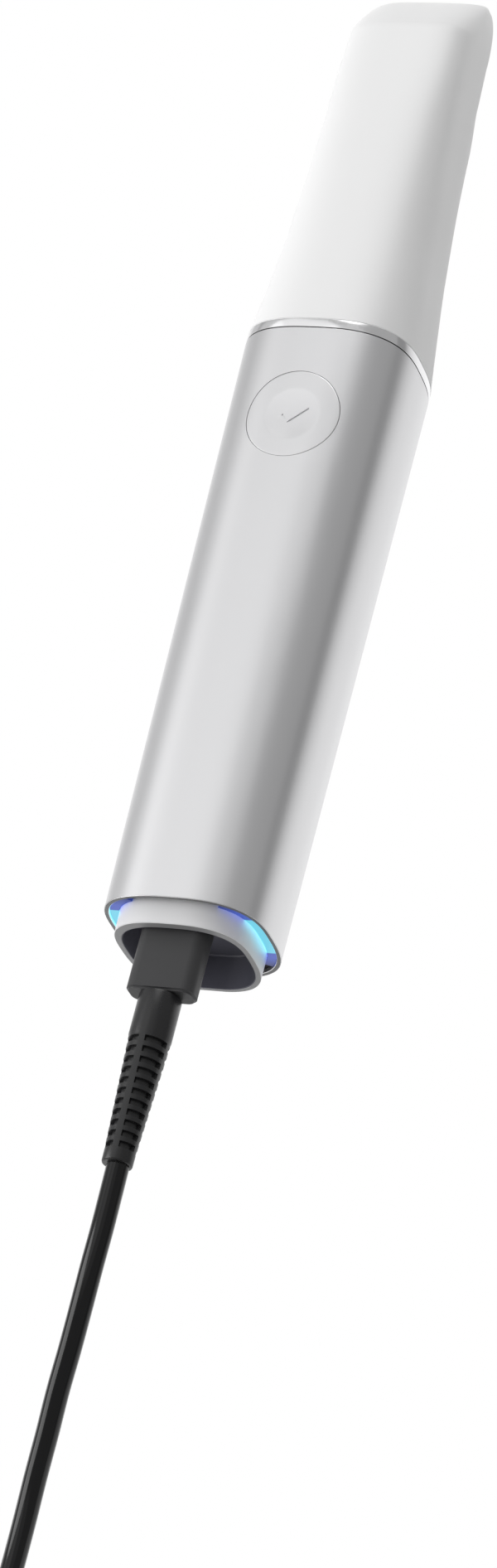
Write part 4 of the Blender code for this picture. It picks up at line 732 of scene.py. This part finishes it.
def mirror_material():
    """Front-surface mirror in the tip."""
    clean, dusty = (0.80, 0.81, 0.83), (0.88, 0.89, 0.90)
    made, n, shader = dusty_material("tip_mirror", clean, dusty, 1200.0, 0.4, 0.9, 0.06)
    n.wire(shader, {"Metallic": 1.0})
    return made


# The camera that was fitted to the photograph: place in metres, turn in radians, lens and sensor in mm.
CAMERA_PLACE = (0.47132, -0.63223, 1.07929)
CAMERA_TURN = (0.532096, 0.294032, 0.240615)
CAMERA_LENS, CAMERA_SENSOR = 150.5159, 36.0


class SCANNER_OT_camera(bpy.types.Operator):
    """Place the camera that matches the photograph"""

    bl_idname = "scanner.camera"
    bl_label = "Place Camera"

    def execute(self, context):
        data = bpy.data.cameras.new("camera")
        data.sensor_width = CAMERA_SENSOR
        data.lens = CAMERA_LENS
        camera = bpy.data.objects.new("camera", data)
        camera.location = CAMERA_PLACE
        camera.rotation_euler = Euler(CAMERA_TURN)
        context.scene.collection.objects.link(camera)
        context.scene.camera = camera
        return {"FINISHED"}


# The cable from the strain relief to the coil, in millimetres.
ROUTE = (
    (0.3, -162.0, 24.4),
    (0.35, -168.0, 24.35),
    (0.2, -175.0, 23.9),
    (-0.5, -182.0, 22.5),
    (-1.6, -189.0, 20.0),
    (-3.1, -196.5, 16.7),
    (-4.8, -204.0, 13.3),
    (-6.4, -211.5, 9.5),
    (-7.9, -219.0, 6.2),
    (-8.9, -226.5, 3.7),
    (-9.4, -234.5, 2.55),
    (-9.5, -242.0, 2.55),
    (-9.5, -250.0, 2.65),
    (-9.5, -258.5, 2.85),
)


def free_route(count=70):
    """The cable from the boot to the coil, read off a smooth curve through the route's points."""
    rows = [(0.0, *ROUTE[0])]
    for here, there in zip(ROUTE, ROUTE[1:]):
        rows.append((rows[-1][0] + math.dist(here, there), *there))
    points = []
    for i in range(count):
        points.append([value * MM for value in through(rows, rows[-1][0] * i / (count - 1))])
    return points


def coil_centres():
    """X of the coil's middle, and Y of the centres of its near and far round ends."""
    s = sizes()
    x, y, _ = ROUTE[-1]
    near = y * MM - s.coil_setback
    return x * MM + s.coil_radius + (s.coil_wide - 1) * s.cord_radius, near, near - s.coil_straight


def coil_top():
    """Height of the coil's top over the table."""
    s = sizes()
    return s.coil_lift + 2 * s.cord_radius * s.coil_high


def on_coil(radius, turn, end_y, height):
    """A place on one of the coil's round ends."""
    angle = math.radians(turn)
    return [coil_centres()[0] + radius * math.cos(angle), end_y + radius * math.sin(angle), height]


def ease(share):
    """A soft step from 0 to 1."""
    share = min(max(share, 0.0), 1.0)
    return share * share * (3 - 2 * share)


# Where on the near end, in degrees, a turn starts to step over to the next and how far it takes, and the
# same as shares of the last half turn for the rise to the far plug.
STEP_START, STEP_LENGTH = 100.0, 65.0
RISE_START, RISE_LENGTH = 0.6, 0.4


def coil_route():
    """The turns, in and out by level, then round on top of the coil and up to the far boot."""
    s = sizes()
    _, near_y, far_y = coil_centres()
    pitch = 2 * s.cord_radius
    turns = []
    for level in range(s.coil_high):
        columns = range(s.coil_wide)
        for column in reversed(columns) if level % 2 == 0 else columns:
            radius = s.coil_radius + (column - (s.coil_wide - 1) / 2) * pitch
            turns.append((radius, s.coil_lift + s.cord_radius + level * pitch))
    turns.append((s.coil_radius, coil_top() + s.seam + s.cord_radius))
    points = [on_coil(turns[0][0], 180.0, near_y, turns[0][1])]
    for (radius, height), (next_radius, next_height) in zip(turns, turns[1:]):
        for i in range(s.coil_steps + 1):
            points.append(on_coil(radius, 180.0 + 180.0 * i / s.coil_steps, far_y, height))
        for i in range(s.coil_steps + 1):
            turn = 180.0 * i / s.coil_steps
            shift = ease((turn - STEP_START) / STEP_LENGTH)
            here = radius + (next_radius - radius) * shift
            points.append(on_coil(here, turn, near_y, height + (next_height - height) * shift))
    for i in range(s.coil_steps + 1):
        share = i / s.coil_steps
        rise = (s.boot_root - s.cord_radius) * ease((share - RISE_START) / RISE_LENGTH)
        points.append(on_coil(turns[-1][0], 180.0 + 180.0 * share, far_y, turns[-1][1] + rise))
    return points


def rounded(outline, radius, steps=4):
    """A closed outline with each corner turned into a curve."""
    points = []
    for index, corner in enumerate(outline):
        corner = Vector(corner)
        before = Vector(outline[index - 1])
        after = Vector(outline[(index + 1) % len(outline)])
        start = corner + (before - corner).normalized() * radius
        end = corner + (after - corner).normalized() * radius
        for i in range(steps + 1):
            share = i / steps
            points.append(start.lerp(corner, share).lerp(corner.lerp(end, share), share))
    return points


def rounded_section(width, height, corner, y, inset=0.0, steps=8):
    """A rectangle with round corners, drawn in by an inset."""
    corner = max(corner - inset, LEAST_CORNER)
    half_x, half_z = width / 2 - inset - corner, height / 2 - inset - corner
    ring = []
    for quarter, (sx, sz) in enumerate(((1, 1), (-1, 1), (-1, -1), (1, -1))):
        for i in range(steps + 1):
            turn = math.pi / 2 * (quarter + i / steps)
            ring.append((sx * half_x + corner * math.cos(turn), y, sz * half_z + corner * math.sin(turn)))
    return ring


def moved(obj, matrix):
    """Moves a piece's mesh, not its origin."""
    obj.data.transform(matrix)
    obj.data.update()
    return obj


# Rounded ends of a strain relief: distance from the end and extra radius, in millimetres.
BOOT_RIM = ((0.0, -0.5), (0.0, -0.35), (0.12, -0.1), (0.4, 0.0))
BOOT_ROOT = ((-0.4, 0.1), (-0.12, 0.0), (0.0, -0.35))
# Extra radius of a relief's bare root, length of a slot's sloped sides, and how far its ends keep from
# the ribs, in radians.
BOOT_SHOULDER, SLOT_EDGE, SLOT_SLOPE = 0.1 * MM, 0.06 * MM, 0.03


def boot_piece(name, overall, bare, rows):
    """Slotted strain relief along Y, from its cable end at 0 to its root, with a bare length there."""
    s = sizes()
    start, end = s.boot_collar, overall - bare
    pitch = (end - start) / rows
    profile = [(y * MM, 0, extra * MM) for y, extra in BOOT_RIM]
    for row in range(rows):
        low = start + pitch * (row + 0.5) - s.slot_width / 2
        high = low + s.slot_width
        profile += [(low - SLOT_EDGE, 0, 0.0), (low, 1, 0.0), (high, 1, 0.0), (high + SLOT_EDGE, 0, 0.0)]
    profile += [(end, 0, 0.0), (end + 0.5 * MM, 0, BOOT_SHOULDER)]
    profile += [(overall + y * MM, 0, extra * MM) for y, extra in BOOT_ROOT]
    rings = []
    for y, slotted, extra in profile:
        share = min(max((y - start) / (end - start), 0.0), 1.0)
        radius = s.boot_end + (s.boot_root - s.boot_end - BOOT_SHOULDER) * share + extra
        floor = radius - s.slot_depth * slotted
        half = math.asin(min(s.rib_width / 2 / radius, 1.0))
        wide = half + SLOT_SLOPE
        ring = []
        for quarter in range(4):
            base = math.pi / 2 * quarter
            ring += [(radius, base + half * i / 2) for i in range(-2, 3)]
            ring += [(floor, base + wide + (math.pi / 2 - 2 * wide) * i / 14) for i in range(15)]
        rings.append([(r * math.sin(a), y, r * math.cos(a)) for r, a in ring])
    return skin(name, rings, sharp=50.0)


def plug_pieces(prefix, matrix, face_y, boot_length, boot_plain, rows):
    """Plug moulding with soft corners, its metal tongue and its slotted strain relief."""
    s = sizes()
    overall = s.plug_out + s.cup_depth - s.plug_front_gap
    profile = [(0.0, s.plug_edge + CLEARANCE)]
    profile += [(y, inset) for inset, y in fillet(s.plug_edge)]
    profile += [(overall * i / 10, 0.0) for i in range(1, 10)]
    profile += [(overall - y, inset) for inset, y in reversed(fillet(s.plug_lead))]
    shape = (s.plug_width, s.plug_thickness, s.plug_corner)
    rings = [rounded_section(*shape, face_y + y, inset) for y, inset in profile]
    body = moved(skin(f"{prefix}_moulding", rings), matrix)
    place(body, grained("plug_black"), "cable", "plug_black", f"{prefix}_body")
    boot = boot_piece(f"{prefix}_strain_relief", boot_length, boot_plain, rows)
    boot = moved(boot, matrix @ Matrix.Translation((0, face_y - s.seam - boot_length, 0)))
    place(boot, grained("boot_black"), "cable", "boot_black", f"{prefix}_boot")
    finish_node(f"{prefix}_tongue", grained("plug_steel"))
    return [body, boot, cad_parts[f"{prefix}_tongue"]]


# Cross-section of the strap with soft edges, as shares of its width and thickness.
STRAP_SECTION = ((-0.5, 0.2), (-0.5, 0.8), (-0.47, 1.0), (0.47, 1.0), (0.5, 0.8), (0.5, 0.2))


class SCANNER_OT_cable(bpy.types.Operator):
    """Make the cable, its coil and tie, and both plugs with their slotted strain reliefs"""

    bl_idname = "scanner.cable"
    bl_label = "Make Cable"

    def execute(self, context):
        s = sizes()
        at = stations()
        near = Matrix.Translation((0, at["ring_end"], s.plug_height))
        pieces = plug_pieces("plug", near, -s.plug_out, s.boot_length, s.boot_plain, s.slot_rows)
        centre_x, _, far_y = coil_centres()
        far = Matrix.Translation((centre_x + s.coil_radius, far_y, coil_top() + s.seam + s.boot_root))
        boot = s.far_boot_length
        pieces += plug_pieces("far_plug", far, boot + 2 * s.seam, boot, s.far_boot_plain, s.far_slot_rows)
        pieces.append(self.strap())
        points = free_route() + coil_route()
        data = bpy.data.curves.new("scanner_cable", "CURVE")
        data.dimensions = "3D"
        data.bevel_depth = s.cord_radius
        data.bevel_resolution = 5
        data.use_fill_caps = True
        line = data.splines.new("POLY")
        line.points.add(len(points) - 1)
        for point, where in zip(line.points, points):
            point.co = (*where, 1.0)
        line.use_smooth = True
        cable = bpy.data.objects.new("scanner_cable", data)
        context.scene.collection.objects.link(cable)
        solids = ("cable", "cable_coil", "cable_tail")
        place(cable, grained("cable_jacket"), "cable", "cable_black", *solids)
        return {"FINISHED"}

    def strap(self):
        """Woven strap round the coil's left side and the free end that lies on it."""
        s = sizes()
        centre_x, near_y, far_y = coil_centres()
        inner, outer = [], []
        for line, wall in ((inner, 0.0), (outer, s.strap_thickness)):
            wide = s.coil_wide * s.cord_radius + s.seam + wall
            crest = coil_top() + 2 * s.seam + 2 * s.cord_radius + wall
            shoulder = coil_top() + s.seam
            narrow = s.cord_radius + wall / 2
            outline = [(wide, s.strap_thickness - wall), (wide, shoulder), (narrow, crest)]
            outline += [(-across, height) for across, height in reversed(outline)]
            line += rounded(outline, 1.0 * MM + wall)
        rings = []
        for (near_x, near_z), (out_x, out_z) in zip(inner, outer):
            ring = []
            for across, out in STRAP_SECTION:
                x, z = near_x + (out_x - near_x) * out, near_z + (out_z - near_z) * out
                ring.append((x, across * s.strap_width, z))
            rings.append(ring)
        strap = skin("coil_strap", rings, closed=True, sharp=60.0)
        moved(strap, Matrix.Translation((centre_x - s.coil_radius, (near_y + far_y) / 2, 0)))
        return place(strap, weave_material(), "cable", "tie_fabric", "coil_tie")


# Spacing and number of the housing's rings up from its rim, the same to each side of the disc's centre,
# and the number of the polished band's rings.
HOUSING_STEP, HOUSING_RINGS = 6 * MM, 15
DISC_STEP, DISC_RINGS = 1.5 * MM, 9
BAND_RINGS = 12

# Where the cut for the disc starts and ends, as shares of the collar's height.
HOLE_CUT = (0.6, 1.2)

# Finishes of the solids inside the housing, which need no piece of their own.
INNER_FINISHES = (
    ("inner_polymer", ("front_bulkhead", "optical_snout")),
    ("silicone", ("tip_seal", "silicone_return_ring")),
    ("barrel_black", ("imaging_lens_barrel", "projector_lens_barrel")),
    ("cast_metal", ("inner_chassis", "projector_light_box")),
    ("milled_metal", ("heat_spreader",)),
    ("plug_steel", ("vibration_motor", "tact_switch", "cable_socket")),
    ("plug_steel", ("board_screw_1", "board_screw_2", "board_screw_3", "board_screw_4")),
)
BOARDS = ("image_sensor_board", "main_board", "switch_board", "socket_board", "light_board")


class SCANNER_OT_housing(bpy.types.Operator):
    """Make the metal housing, the polished collar and what lies inside them"""

    bl_idname = "scanner.housing"
    bl_label = "Make Housing"

    def execute(self, context):
        self.shell()
        self.band()
        for finish, nodes in INNER_FINISHES:
            for node in nodes:
                finish_node(node, grained(finish))
        finish_node("nose_glass", glass_material())
        board = board_material()
        for node in BOARDS:
            finish_node(node, board)
        return {"FINISHED"}

    def shell(self):
        """The metal tube with its rounded ends and the hole for the disc."""
        s = sizes()
        at = stations()
        rim, collar, button, edge = at["rim"], at["collar"], at["button"], s.shell_edge
        rows = [(rim + y, inset) for inset, y in fillet(edge)]
        rows += [(rim + HOUSING_STEP * i, 0.0) for i in range(1, HOUSING_RINGS + 1)]
        rows += [(button + DISC_STEP * i, 0.0) for i in range(-DISC_RINGS, DISC_RINGS + 1)]
        rows += [(collar - HOUSING_STEP / 2, 0.0)]
        rows += [(collar - y, inset) for inset, y in reversed(fillet(s.collar_edge))]
        rows.sort(key=lambda row: row[0])
        rows += [(collar, s.wall - edge), (collar - edge, s.wall)]
        rows += [(rim + edge, s.wall), (rim, s.wall - edge)]
        shell = skin("housing_skin", [body_section(y, inset) for y, inset in rows], closed=True)
        radius = s.button_radius + s.line_gap
        heights = [share * s.collar_height for share in HOLE_CUT]
        cut(shell, skin("hole", [circle(radius, button, lambda x, y, z=z: z) for z in heights]))
        place(shell, grained("satin_metal"), "handpiece", "satin_metal", "body_shell")
        # Painted shade: the housing's end face is drawn darker than its metal.
        finish_end(shell, grained("painted_rim_shade"), rim)

    def band(self):
        """The polished band between the housing and the tip."""
        s = sizes()
        at = stations()
        start, end = at["collar"] + 2 * s.line_gap, at["tip"] - s.line_gap / 2
        rows = []
        for i in range(BAND_RINGS + 1):
            share = i / BAND_RINGS
            rows.append((start + (end - start) * share, s.band_crown * (2 * share - 1) ** 2))
        rows += [(end, s.tip_wall), (start, s.tip_wall)]
        rings = [body_section(at["collar"], inset, y) for y, inset in rows]
        band = skin("collar_band", rings, closed=True)
        place(band, grained("collar_chrome"), "handpiece", "collar_chrome", "collar_ring")


# The tick's corner from the disc's centre in millimetres, and its arms: length in millimetres, direction
# in degrees and depth in millimetres.
TICK_CORNER = (-0.54, -1.78)
TICK_ARMS = ((2.09, 132.0, 0.17), (4.89, 40.4, 0.3))
TICK_TOOL_HEIGHT = 1.5 * MM

# How the disc's edge rounds off: distance inside its radius and drop, in millimetres.
DISC_EDGE = ((0.05, 0.005), (0.015, 0.02), (0.0, 0.06))
# Rings of its dish and of the flat round it, how far the flat stops inside the edge, and the rounding of
# the stem's end.
DISH_RINGS, FLAT_RINGS = 24, 8
FLAT_MARGIN, PLUNGER_EDGE = 0.15 * MM, 0.2 * MM


class SCANNER_OT_disc(bpy.types.Operator):
    """Make the touch disc with its shallow dish and plain tick"""

    bl_idname = "scanner.disc"
    bl_label = "Make Disc"

    def execute(self, context):
        s = sizes()
        at = stations()
        button = at["button"]

        def crown(x, y, inset=0.0):
            half_width, high = body_values(y)
            low = -s.belly_flat
            middle = low + (high - low) * s.waist
            power = s.crown_roundness
            side = min(abs(x) / (half_width - inset), 1.0)
            return middle + (high - inset - middle) * (1 - side**power) ** (1 / power)

        rows = []
        for i in range(1, DISH_RINGS + 1):
            radius = s.dish_radius * i / DISH_RINGS
            depth = s.dish_depth * (1 - (i / DISH_RINGS) ** 2)
            rows.append((radius, lambda x, y, depth=depth: crown(x, y) - depth))
        flat = s.button_radius - FLAT_MARGIN - s.dish_radius
        for i in range(1, FLAT_RINGS + 1):
            rows.append((s.dish_radius + flat * i / FLAT_RINGS, crown))
        for inset, drop in DISC_EDGE:
            rows.append((s.button_radius - inset * MM, lambda x, y, drop=drop * MM: crown(x, y) - drop))
        lip_inset = s.wall + s.seam
        rows.append((s.button_radius, lambda x, y: crown(x, y, lip_inset)))
        lip = s.button_radius + s.disc_lip
        under = s.button_underside
        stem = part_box("button_cap")[0][2]
        rows.append((lip, lambda x, y: max(crown(x, y, lip_inset), under + CLEARANCE)))
        rows.append((lip, lambda x, y: under))
        rows.append((s.plunger_radius, lambda x, y: under))
        rows.append((s.plunger_radius, lambda x, y: stem + PLUNGER_EDGE))
        rows.append((s.plunger_radius - PLUNGER_EDGE, lambda x, y: stem))
        disc = skin("touch_disc", [circle(radius, button, height) for radius, height in rows])
        corner = Vector((TICK_CORNER[0] * MM, button + TICK_CORNER[1] * MM, 0))
        floor = crown(0, button) - s.dish_depth
        for run, turn, deep in TICK_ARMS:
            cut(disc, self.stroke(corner, run * MM, turn, floor - deep * MM))
        place(disc, grained("satin_metal"), "button", "button_metal", "button_cap")
        return {"FINISHED"}

    def stroke(self, start, run, turn, low):
        """A round-ended groove of the tick, as a tool to cut with."""
        half = sizes().tick_width / 2
        outline = []
        for centre, first in ((0.0, math.pi / 2), (run, -math.pi / 2)):
            for i in range(9):
                angle = first + math.pi * i / 8
                outline.append(Vector((centre + half * math.cos(angle), half * math.sin(angle), 0)))
        spin = Matrix.Rotation(math.radians(turn), 3, "Z")
        outline = [spin @ point + start for point in outline]
        heights = (low, low + TICK_TOOL_HEIGHT)
        return skin("stroke", [[(point.x, point.y, z) for point in outline] for z in heights])


# Rings of the tip up to the crest and over its slant, and the least gap before the cavity's last ring.
BARREL_RINGS, SLANT_RINGS, LEAST_STEP = 56, 30, 0.2 * MM


class SCANNER_OT_tip(bpy.types.Operator):
    """Make the pull-off tip with its slanted nose and scan window"""

    bl_idname = "scanner.tip"
    bl_label = "Make Tip"

    def execute(self, context):
        s = sizes()
        at = stations()
        tip, crest, nose = at["tip"], at["crest"], at["nose"]
        inner_end = nose - s.tip_wall - s.cavity_advance
        snout_end = tip + s.snout_reach

        def cavity(y):
            share = min(max((y - snout_end) / (crest - snout_end), 0.0), 1.0)
            return tip_section(min(y + s.cavity_advance * share, nose), s.tip_wall, y)

        grid = [tip + (crest - tip) * i / BARREL_RINGS for i in range(BARREL_RINGS + 1)]
        for i in range(1, SLANT_RINGS + 1):
            grid.append(crest + s.crest_setback * math.sin(math.pi / 2 * i / SLANT_RINGS))
        rings = [cavity(y) for y in reversed(grid) if y < inner_end - LEAST_STEP]
        rings.insert(0, cavity(inner_end))
        rings[-1] = cavity(tip)
        rings += [tip_section(tip, inset, tip + y) for inset, y in fillet(s.tip_edge)]
        rings += [tip_section(y) for y in grid[1:]]
        sleeve = skin("tip_shell", rings)
        front = nose - s.window_setback
        half = s.window_width / 2
        top = s.window_plane + 2 * s.tip_wall
        window = box("window", (-half, front - s.window_length, 0.0), (half, front, top))
        corner = window.modifiers.new("Corner", "BEVEL")
        corner.width = s.window_corner
        corner.segments = 8
        corner.limit_method = "ANGLE"
        baked(window)
        cut(sleeve, window)
        place(sleeve, grained("tip_white"), "tip", "tip_white", "tip_sleeve")
        finish_node("mirror_carrier", grained("liner_dark"))
        finish_node("tip_mirror", mirror_material())
        return {"FINISHED"}


# The flat part of the recess's floor starts this far inside its corner, and the cut for the socket's
# mouth reaches this far behind the floor.
FLOOR_START, MOUTH_CUT = 1.5 * MM, 3 * MM


class SCANNER_OT_tail(bpy.types.Operator):
    """Make the end ring, the dark recess and the light strips"""

    bl_idname = "scanner.tail"
    bl_label = "Make Tail"

    def execute(self, context):
        s = sizes()
        at = stations()
        end, front = at["ring_end"], at["ring_front"]
        inner = s.ring_inset + s.ring_wall
        rows = [(end, inner), (end, s.ring_inset + s.ring_edge)]
        rows += [(end + y, s.ring_inset + inset) for inset, y in fillet(s.ring_edge)]
        rows += [(front, s.ring_inset), (front, inner)]
        ring = skin("end_ring_skin", [tail_section(y, inset) for y, inset in rows], closed=True)
        place(ring, grained("ring_white"), "handpiece", "ring_white", "end_ring")
        # Painted shade: the end ring's end face is drawn darker than its white.
        finish_end(ring, grained("painted_ring_shade"), end)
        self.recess(inner + s.cup_gap)
        lit = light_material()
        for side, node in ((-1, "light_strip_left"), (1, "light_strip_right")):
            place(self.strip(side, f"{node}_lens"), lit, "handpiece", "light_strip", node)
        # Painted shade: a dark ring fills the gap behind the strips.
        self.shade_ring()
        return {"FINISHED"}

    def recess(self, outer):
        """The dark cup with a rounded floor, the mouth of the socket in it and the shelf behind."""
        s = sizes()
        at = stations()
        mouth, floor = at["ring_end"] + s.cup_mouth, at["cup_floor"]
        inner = outer + s.cup_wall
        deep = inner + s.cup_draft
        rows = [(floor, deep + s.cup_corner + FLOOR_START)]
        rows += [(floor - y, deep + inset) for inset, y in fillet(s.cup_corner)]
        rows += [(mouth + s.cup_edge, inner), (mouth, inner - s.cup_edge), (mouth, outer)]
        rows += [(floor + s.cup_wall, outer + s.cup_draft)]
        cup = skin("recess_skin", [tail_section(y, inset) for y, inset in rows])
        socket_low, socket_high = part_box("cable_socket")
        low = (socket_low[0] - s.seam, floor - s.cup_wall, socket_low[2] - s.seam)
        high = (socket_high[0] + s.seam, floor + MOUTH_CUT, socket_high[2] + s.seam)
        cut(cup, box("mouth", low, high))
        slate = grained("recess_slate")
        place(cup, slate, "handpiece", "recess_slate", "recess_cup")
        board_low, board_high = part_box("socket_board")
        top = board_low[2] - s.seam
        low = (socket_low[0], floor + s.cup_wall / 2, top - s.shelf_thickness)
        shelf = box("socket_shelf", low, (socket_high[0], board_high[1], top))
        place(shelf, slate, "handpiece", "recess_slate", "recess_cup")

    def strip(self, side, name):
        """A lit strip that follows the inside of the rim, between the housing and the end ring."""
        s = sizes()
        start = stations()["rim"] + s.light_setback
        back = start + s.light_thickness
        outer = body_section(start, s.wall + s.light_gap)
        inner = tail_section(start, s.ring_inset - s.light_gap)
        rings = []
        for (x, _, z), (near_x, _, near_z) in zip(outer, inner):
            if side * x > 0 and s.light_low < z < s.light_high:
                rings.append([(x, start, z), (x, back, z), (near_x, back, near_z), (near_x, start, near_z)])
        return skin(name, rings)

    def shade_ring(self):
        """The dark ring behind the strips that closes the gap between the housing and the end ring, as
        painted shade in that gap.
        """
        s = sizes()
        near = stations()["rim"] + s.light_setback + s.light_thickness + CLEARANCE
        far = near + s.shade_ring_thickness
        outer, inner = s.wall + CLEARANCE, s.ring_inset - CLEARANCE
        rings = [body_section(near, outer), body_section(near, outer, far)]
        rings += [tail_section(far, inner), tail_section(near, inner)]
        shade_ring = skin("rim_shade_ring", rings, closed=True)
        place(shade_ring, grained("shade_ring_black"), "handpiece", "black_polymer")


# Soft lamps: name, place in metres, diameter in metres and power in watts.
LAMPS = (
    ("left_softbox", (-0.97, -0.36, 0.61), 1.0, 7.2),
    ("back_softbox", (0.0, 0.96, 0.72), 0.8, 3.6),
    ("high_softbox", (-0.68, 0.12, 0.98), 1.4, 2.3),
    ("top_softbox", (0.0, 0.0, 1.2), 1.4, 0.9),
    ("side_softbox", (-1.03, 0.30, 0.54), 1.0, 0.45),
)

# Strength of the pale surroundings, and the floor's colour and its size in metres.
WORLD_STRENGTH = 0.355
WHITE = (1.0, 1.0, 1.0, 1.0)
FLOOR_GREY = (0.80, 0.80, 0.80, 1.0)
FLOOR_HALF, FLOOR_TOP, FLOOR_UNDERSIDE = 3.0, -0.0005, -0.012

# A painted pool of light: how the floor's glow fades in reflections across X in metres: from, to, strength
# there and strength beyond.
FADE_RIGHT = (0.020, 0.08, 1.0, 0.25)
FADE_LEFT = (-0.10, -0.03, 0.55, 1.0)


class SCANNER_OT_stage(bpy.types.Operator):
    """Set up the white floor, the soft lights and the pale surroundings"""

    bl_idname = "scanner.stage"
    bl_label = "Set Up Stage"

    def execute(self, context):
        scene = context.scene
        scene.view_settings.view_transform = "Standard"
        low = (-FLOOR_HALF, -FLOOR_HALF, FLOOR_UNDERSIDE)
        floor = box("floor", low, (FLOOR_HALF, FLOOR_HALF, FLOOR_TOP))
        floor.data.materials.append(self.floor_white())
        floor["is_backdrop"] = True
        world = bpy.data.worlds.new("studio")
        world.use_nodes = True
        scene.world = world
        n = Nodes(world.node_tree)
        dim = world.node_tree.nodes["Background"]
        n.wire(dim, {"Color": WHITE, "Strength": WORLD_STRENGTH})
        bright = n.add("ShaderNodeBackground", {"Color": WHITE, "Strength": 1.0})
        both = n.add("ShaderNodeMixShader", {0: n.camera_ray(), 1: dim.outputs[0], 2: bright.outputs[0]})
        n.wire(world.node_tree.nodes["World Output"], {"Surface": both.outputs[0]})
        for name, where, size, power in LAMPS:
            self.softbox(name, where, size, power)
        return {"FINISHED"}

    def floor_white(self):
        """White to the camera. In reflections it glows as a painted pool of light that fades to both sides,
        which leaves the metal dark bands.
        """
        made, n, shader = base_material("floor_white")
        n.wire(shader, {"Base Color": FLOOR_GREY, "Roughness": 0.8})
        rays = n.add("ShaderNodeLightPath").outputs
        across = n.add("ShaderNodeSeparateXYZ", {0: n.coordinates()}).outputs["X"]
        # Painted pool of light, seen only in reflections.
        fade = n.math("MINIMUM", n.band(across, *FADE_RIGHT), n.band(across, *FADE_LEFT))
        strength = n.math("MAXIMUM", fade, rays["Is Camera Ray"])
        glow = n.add("ShaderNodeEmission", {"Color": WHITE, "Strength": strength})
        mirrored = n.math("MAXIMUM", rays["Is Glossy Ray"], rays["Is Transmission Ray"])
        seen = n.math("MAXIMUM", rays["Is Camera Ray"], mirrored)
        both = n.add("ShaderNodeMixShader", {0: seen, 1: shader.outputs[0], 2: glow.outputs[0]})
        n.wire(made.node_tree.nodes["Material Output"], {"Surface": both.outputs[0]})
        return made

    def softbox(self, name, where, size, power):
        """A round soft lamp aimed at the handpiece."""
        data = bpy.data.lights.new(name, "AREA")
        data.shape = "DISK"
        data.size = size
        data.energy = power
        lamp = bpy.data.objects.new(name, data)
        lamp.location = where
        lamp.rotation_euler = (-Vector(where)).to_track_quat("-Z", "Y").to_euler()
        bpy.context.scene.collection.objects.link(lamp)


class SCANNER_PT_panel(bpy.types.Panel):
    """Buttons that make the scanner, and its sizes and colours"""

    bl_label = "Intraoral Scanner"
    bl_idname = "SCANNER_PT_panel"
    bl_space_type = "VIEW_3D"
    bl_region_type = "UI"
    bl_category = "Scanner"

    def draw(self, context):
        layout = self.layout
        for step in STEPS:
            layout.operator(step.bl_idname)
        for group in (context.scene.scanner_sizes, context.scene.scanner_colours):
            column = layout.column()
            for name in group.__annotations__:
                column.prop(group, name)


STEPS = (
    SCANNER_OT_camera,
    SCANNER_OT_cable,
    SCANNER_OT_housing,
    SCANNER_OT_disc,
    SCANNER_OT_tip,
    SCANNER_OT_tail,
    SCANNER_OT_stage,
)
CLASSES = (ScannerSizes, ScannerColours, *STEPS, SCANNER_PT_panel)


def register():
    for item in CLASSES:
        bpy.utils.register_class(item)
    bpy.types.Scene.scanner_sizes = bpy.props.PointerProperty(type=ScannerSizes)
    bpy.types.Scene.scanner_colours = bpy.props.PointerProperty(type=ScannerColours)


def unregister():
    del bpy.types.Scene.scanner_colours
    del bpy.types.Scene.scanner_sizes
    for item in reversed(CLASSES):
        bpy.utils.unregister_class(item)


def main():
    register()
    bpy.ops.scanner.camera()
    bpy.ops.scanner.cable()
    bpy.ops.scanner.housing()
    bpy.ops.scanner.disc()
    bpy.ops.scanner.tip()
    bpy.ops.scanner.tail()
    bpy.ops.scanner.stage()
    boxes = {"frame": FRAME_BOX, "visual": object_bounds()}
    boxes = {name: [list(corner) for corner in corners] for name, corners in boxes.items()}


if __name__ == "__main__":
    main()
